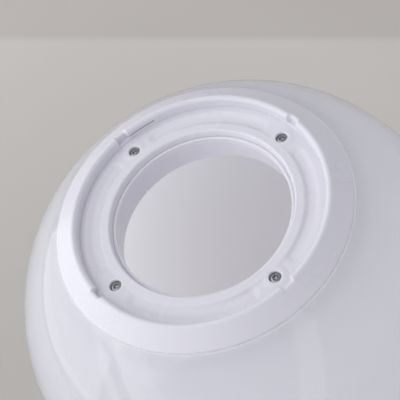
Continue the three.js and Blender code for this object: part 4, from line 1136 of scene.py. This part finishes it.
# %% Screws and washers of the base
points, faces = screw_part(4.0, 2.6, 2.0, 24.5, "cross", 0.7, 0.32)
canopy_screw = points * (1, -1, -1), faces  # turned half round X, because its head is below
washer = turned(rounded([(2.3, -24.8, 0.12), (5, -24.8, 0.2), (5, CUP_UNDER, 0.12),
                         (2.3, CUP_UNDER, 0.12)], 3), 64)
block_screw = screw_part(2.6, 1.6, 1.5, 12.4, "slot", 0.8, 0.25)
earth_screw = screw_part(3.6, 2.4, 2.0, 4.8, "slot", 0.7, 0.3)
terminal_screw = screw_part(2.2, 0.7, 1.95, 3.8, "slot", 0.7, 0.2)
for i, side in enumerate((-1, 1)):
    add_piece(f"pan_fixing_screw_{i + 1}", turned_by(canopy_screw, 0.6 * side), "canopy",
              f"canopy_screw_{i + 1}", zinc, (28 * side, 0, -27.4))
    add_piece(f"washer_{i + 1}", washer, "canopy", f"canopy_washer_{i + 1}", zinc,
              (28 * side, 0, 0))
add_piece("block_fixing_screw", turned_by(block_screw, 0.5), "canopy", "block_screw", zinc,
          (5.5, 20, -11))
add_piece("earth_fixing_screw", turned_by(earth_screw, 2.1), "canopy", "earth_screw", zinc,
          (-20, -9, -19.8))
for i, x in enumerate((-11, 0, 11)):
    add_piece(f"clamping_screw_{i + 1}", turned_by(terminal_screw, 0.4 + i), "canopy",
              f"terminal_screw_{i + 1}", brass, (x, 20, -8))
print("screws and washers of the base: 9")

# %% [markdown]
# ## The lampholder
# An E27 holder is a cap on the threaded tube and a sleeve screwed to it. The sleeve has fine grip
# ribs, which a mould forms as small waves in the radius. Inside is a brass shell rolled from thin
# sheet, so its thread shows on both faces.

# %% Holder cap and sleeve
RIBS, RIB_DEPTH, SLEEVE = 45, 0.022, 19.5  # ribs round, share of the radius, and the radius
cap_outline = rounded(
    [(15.8, -40, 0.3), (18, -40, 0.4), (18, -30, 1.5), (16.2, -25.8, 2.0), (12, CUP_UNDER, 1.6),
     (HOLE, CUP_UNDER, 0.3), (HOLE, -26.2, 0.3), (11.4, -26.2, 1.2), (15.0, -28.6, 1.6),
     (15.8, -31, 0.8)])
add_piece("holder_dome", turned(cap_outline, 120), "canopy", "holder_cap", holder_white)
sleeve_rows = rounded(
    [(17.3, -76.3, 0.5), (19.1, -76.3, 0.7), (SLEEVE, -74.6, 0.4), (SLEEVE, -72.5, 0.2),
     (SLEEVE, -46, 0.2), (SLEEVE, -42, 0.8), (18.3, -40.3, 0.6), (15.8, -40.3, 0.3),
     (15.8, -43.3, 0.2), (14.5, -43.3, 0.2), (14.5, -45.3, 0.2), (17.3, -45.3, 0.4)])
turn = angles_round(360)
grip = (sleeve_rows[:, 0] > 19.4) & (sleeve_rows[:, 1] < -45.5) & (sleeve_rows[:, 1] > -73.0)
ribs = 1 - RIB_DEPTH * (0.5 - 0.5 * np.cos(RIBS * turn))
sleeve_grid = around(sleeve_rows, turn)
sleeve_grid[..., :2] *= np.where(grip[:, None], ribs[None, :], 1.0)[..., None]
add_piece("ribbed_sleeve", grid_shell(sleeve_grid), "canopy", "holder_sleeve", holder_white)
print("sleeve ribs:", RIBS, "about", round(RIB_DEPTH * SLEEVE, 2), "mm deep")

# %% Rolled threads of the holder's shell and of the bulb's cap
PITCH, ROLL, COLUMNS = 3.6, 0.5, 120
ROLL_ANGLES = angles_round(COLUMNS)


def rolled_rows(radius, top, turns, count=84):
    """Rows of a rolled thread going down from top: radius + roll (1 - cos w) / 2, where w is a full
    turn for each pitch of height less the angle. It fades out over one pitch at both ends."""
    z = np.linspace(top, top - turns * PITCH, count)[:, None]
    fade = np.clip((top - z) / PITCH, 0, 1) * np.clip((z - top + turns * PITCH) / PITCH, 0, 1)
    swell = 0.5 - 0.5 * np.cos(2 * np.pi * z / PITCH - ROLL_ANGLES)
    return np.stack(np.broadcast_arrays(radius + ROLL * swell * fade, z), -1)


shell_top = [(13.6, -43.3), (13.3, -43.0), (8.1, -43.0), (8.0, -43.1), (8.0, -43.35),
             (8.1, -43.4), (12.9, -43.4), (13.2, -43.7)]
SHELL_TURNS = 6
shell_rows = [rolled_rows(13.6, -46.6, SHELL_TURNS)[::-1], level_rows(shell_top, COLUMNS),
              rolled_rows(13.2, -46.6, SHELL_TURNS)]
shell_contact = add_piece(
    "rolled_screw_shell", grid_shell(around(np.concatenate(shell_rows), ROLL_ANGLES)), "canopy",
    "screw_shell", brass, sharp=60)
print("screw shell:", [round(v / MM, 1) for v in shell_contact.dimensions], "mm")

# %% [markdown]
# ## The bulb
# A common LED bulb: a rolled aluminium cap with a solder point on black glass, a white housing
# that flares to the globe's width, and an opal globe. The globe is a thin blown wall, like the big
# shade, but satin on both sides.

# %% The bulb's contact, insulator and cap
CAP_TURNS = 5.5
contact_outline = rounded([(0, -48.3), (4.5, -48.3, 0.2), (4.2, -47.7, 0.4), (2.3, -46.9, 0.8),
                           (0, -46.8)], 5, False)
add_piece("solder_point", turned(contact_outline, 48), "bulb", "bulb_contact", zinc)
cone_outline = rounded([(0, -51.3), (9.5, -51.3, 0.2), (9.1, -50.7, 0.3), (4.6, -48.4, 0.4),
                        (4.3, -48.3, 0.1), (0, -48.3)], closed=False)
add_piece("black_cone", turned(cone_outline, 72), "bulb", "bulb_insulator", black_glass)
cap_foot = [(0, -51.9), (11.0, -51.9), (11.8, -52.9), (11.8, -74.2), (11.85, -74.3), (12.8, -74.3),
            (12.9, -74.2), (12.9, -73.4), (12.6, -73.2)]
cap_top = [(12.1, -52.4), (11.4, -51.6), (9.6, -51.3), (0, -51.3)]
cap_rows = [level_rows(cap_foot, COLUMNS), rolled_rows(12.4, -53.1, CAP_TURNS)[::-1],
            level_rows(cap_top, COLUMNS)]
cap_grid = around(np.concatenate(cap_rows), ROLL_ANGLES)
add_piece("rolled_cap", grid_shell(cap_grid, poles=True), "bulb", "bulb_cap", aluminium,
          sharp=60)
print("the cap's thread has", CAP_TURNS, "turns of", PITCH, "mm")

# %% The bulb's housing and globe
GLOBE, GLOBE_WALL, GLOBE_MIDDLE, GLOBE_RISE = 22.5, 1.2, -100.3, 9.98
housing_outline = rounded(
    [(0, -90.3), (20.1, -90.3, 0.3), (20.1, -89.4, 0.3), (19.5, -86.3, 2.2), (14.2, -75.6, 1.2),
     (13.9, -74.3, 0.4), (11.5, -74.3, 0.2), (11.5, -58.3, 0.5), (0, -58.3)], 5, False)
add_piece("bulb_body", turned(housing_outline, 120), "bulb", "bulb_housing", holder_white)


def globe_arc(radius, steps):
    """From the lowest point of a ball about the globe's middle up to the housing's foot."""
    t = np.linspace(-np.pi / 2, np.arcsin(GLOBE_RISE / radius), steps)
    return np.c_[radius * np.cos(t), GLOBE_MIDDLE + radius * np.sin(t)]


globe_rows = np.concatenate([globe_arc(GLOBE, 48), globe_arc(GLOBE - GLOBE_WALL, 40)[::-1]])
globe_rows[[0, -1], 0] = 0
add_piece("opal_globe", turned(globe_rows, 144), "bulb", "bulb_globe", opal_diffuser)
bulb_top = contact_outline[:, 1].max()
print("bulb from", round(float(globe_rows[0, 1]), 1), "to", round(float(bulb_top), 1), "mm")

# %% [markdown]
# ## The wires
# Three wires run inside the cup. Each is a round section carried along a smooth line through the
# points that the frame gives it. The frame of each place on the line is turned on from the last
# one, so that the section never twists.


# %% A smooth line and a wire along it
def smooth_line(points, steps=12):
    """A centripetal Catmull-Rom line: on each span, blends between neighbours whose knots lie a
    square root of their distance apart, so that it neither overshoots nor loops."""
    p = np.asarray(points, float)
    p = np.concatenate([[2 * p[0] - p[1]], p, [2 * p[-1] - p[-2]]])
    gap = np.sqrt(np.linalg.norm(np.diff(p, axis=0), axis=1))
    t = np.concatenate([[0], np.cumsum(gap)])
    i = np.arange(1, len(p) - 2)[:, None]
    x = t[i] + np.linspace(0, 1, steps, endpoint=False)[None] * (t[i + 1] - t[i])

    def between(a, b, at_a, at_b):
        """The blend of a and b that is a where x = at_a and b where x = at_b."""
        return ((at_b - x)[..., None] * a + (x - at_a)[..., None] * b) / (at_b - at_a)[..., None]

    a1, a2, a3 = (between(p[i + k - 1], p[i + k], t[i + k - 1], t[i + k]) for k in range(3))
    b1, b2 = between(a1, a2, t[i - 1], t[i + 1]), between(a2, a3, t[i], t[i + 2])
    return np.concatenate([between(b1, b2, t[i], t[i + 1]).reshape(-1, 3), p[-2:-1]])


WIRE, WIRE_SIDES = 1.2, 20  # radius in mm, and points round it
END_SHARE, END_BULGE = 0.8, 0.12  # a rounded end's share of the radius, and its bulge in mm


def wire(name, node, points, material):
    """A tube: centre + radius (cos a side + sin a up), with rounded ends. side is the last place's
    side made square to the new direction."""
    line = smooth_line(points)
    run = np.gradient(line, axis=0)
    run /= np.linalg.norm(run, axis=1)[:, None]
    side = np.cross(run[0], (0.3, 0.2, 1.0))
    sides = []
    for direction in run:
        side = side - direction * side.dot(direction)
        side = side / np.linalg.norm(side)
        sides.append(side)
    side = np.array(sides)
    up = np.cross(run, side)
    a = angles_round(WIRE_SIDES)
    size = np.full(len(line), WIRE)
    size[[0, -1]] = WIRE * END_SHARE
    ring = side[:, None] * np.cos(a)[None, :, None] + up[:, None] * np.sin(a)[None, :, None]
    grid = line[:, None] + ring * size[:, None, None]
    ends = [np.broadcast_to(line[k] + run[k] * END_BULGE * sign, (1, WIRE_SIDES, 3))
            for k, sign in ((0, -1), (-1, 1))]
    part = grid_shell(np.concatenate([ends[0], grid, ends[1]]), poles=True)
    add_piece(name, part, "canopy", node, material, sharp=60)
    return np.linalg.norm(np.diff(line, axis=0), axis=1).sum()


print("a wire is", 2 * WIRE, "mm thick")


# %% The three wires
def supply_route(side):
    """From a pole of the block, over into the threaded tube, down it, and out to a post."""
    return [(side * 11, 16.25, -15), (side * 11, 11.3, -15), (side * 7.92, 6.25, -12.6),
            (side * 2.53, 1.625, -12.6), (side * 1.6, 0, -16.2), (side * 1.6, 0, -32),
            (side * 2.376, 0, -33.75), (side * 5.4, 0, -35.5), (side * 10.5, 0, -35.5)]


earth_route = [(-20, 4.8, -21.3), (-20, 6, -21.3), (-17, 8.75, -19.22), (-9, 8.75, -17.08),
               (-2, 9.375, -15), (0, 12.5, -15), (0, 16.25, -15)]
lengths = [wire("brown_wire", "line_wire", supply_route(-1), brown_pvc),
           wire("blue_wire", "neutral_wire", supply_route(1), blue_pvc),
           wire("green_wire", "earth_wire", earth_route, green_pvc)]
print("wires in mm:", [round(float(length), 1) for length in lengths])
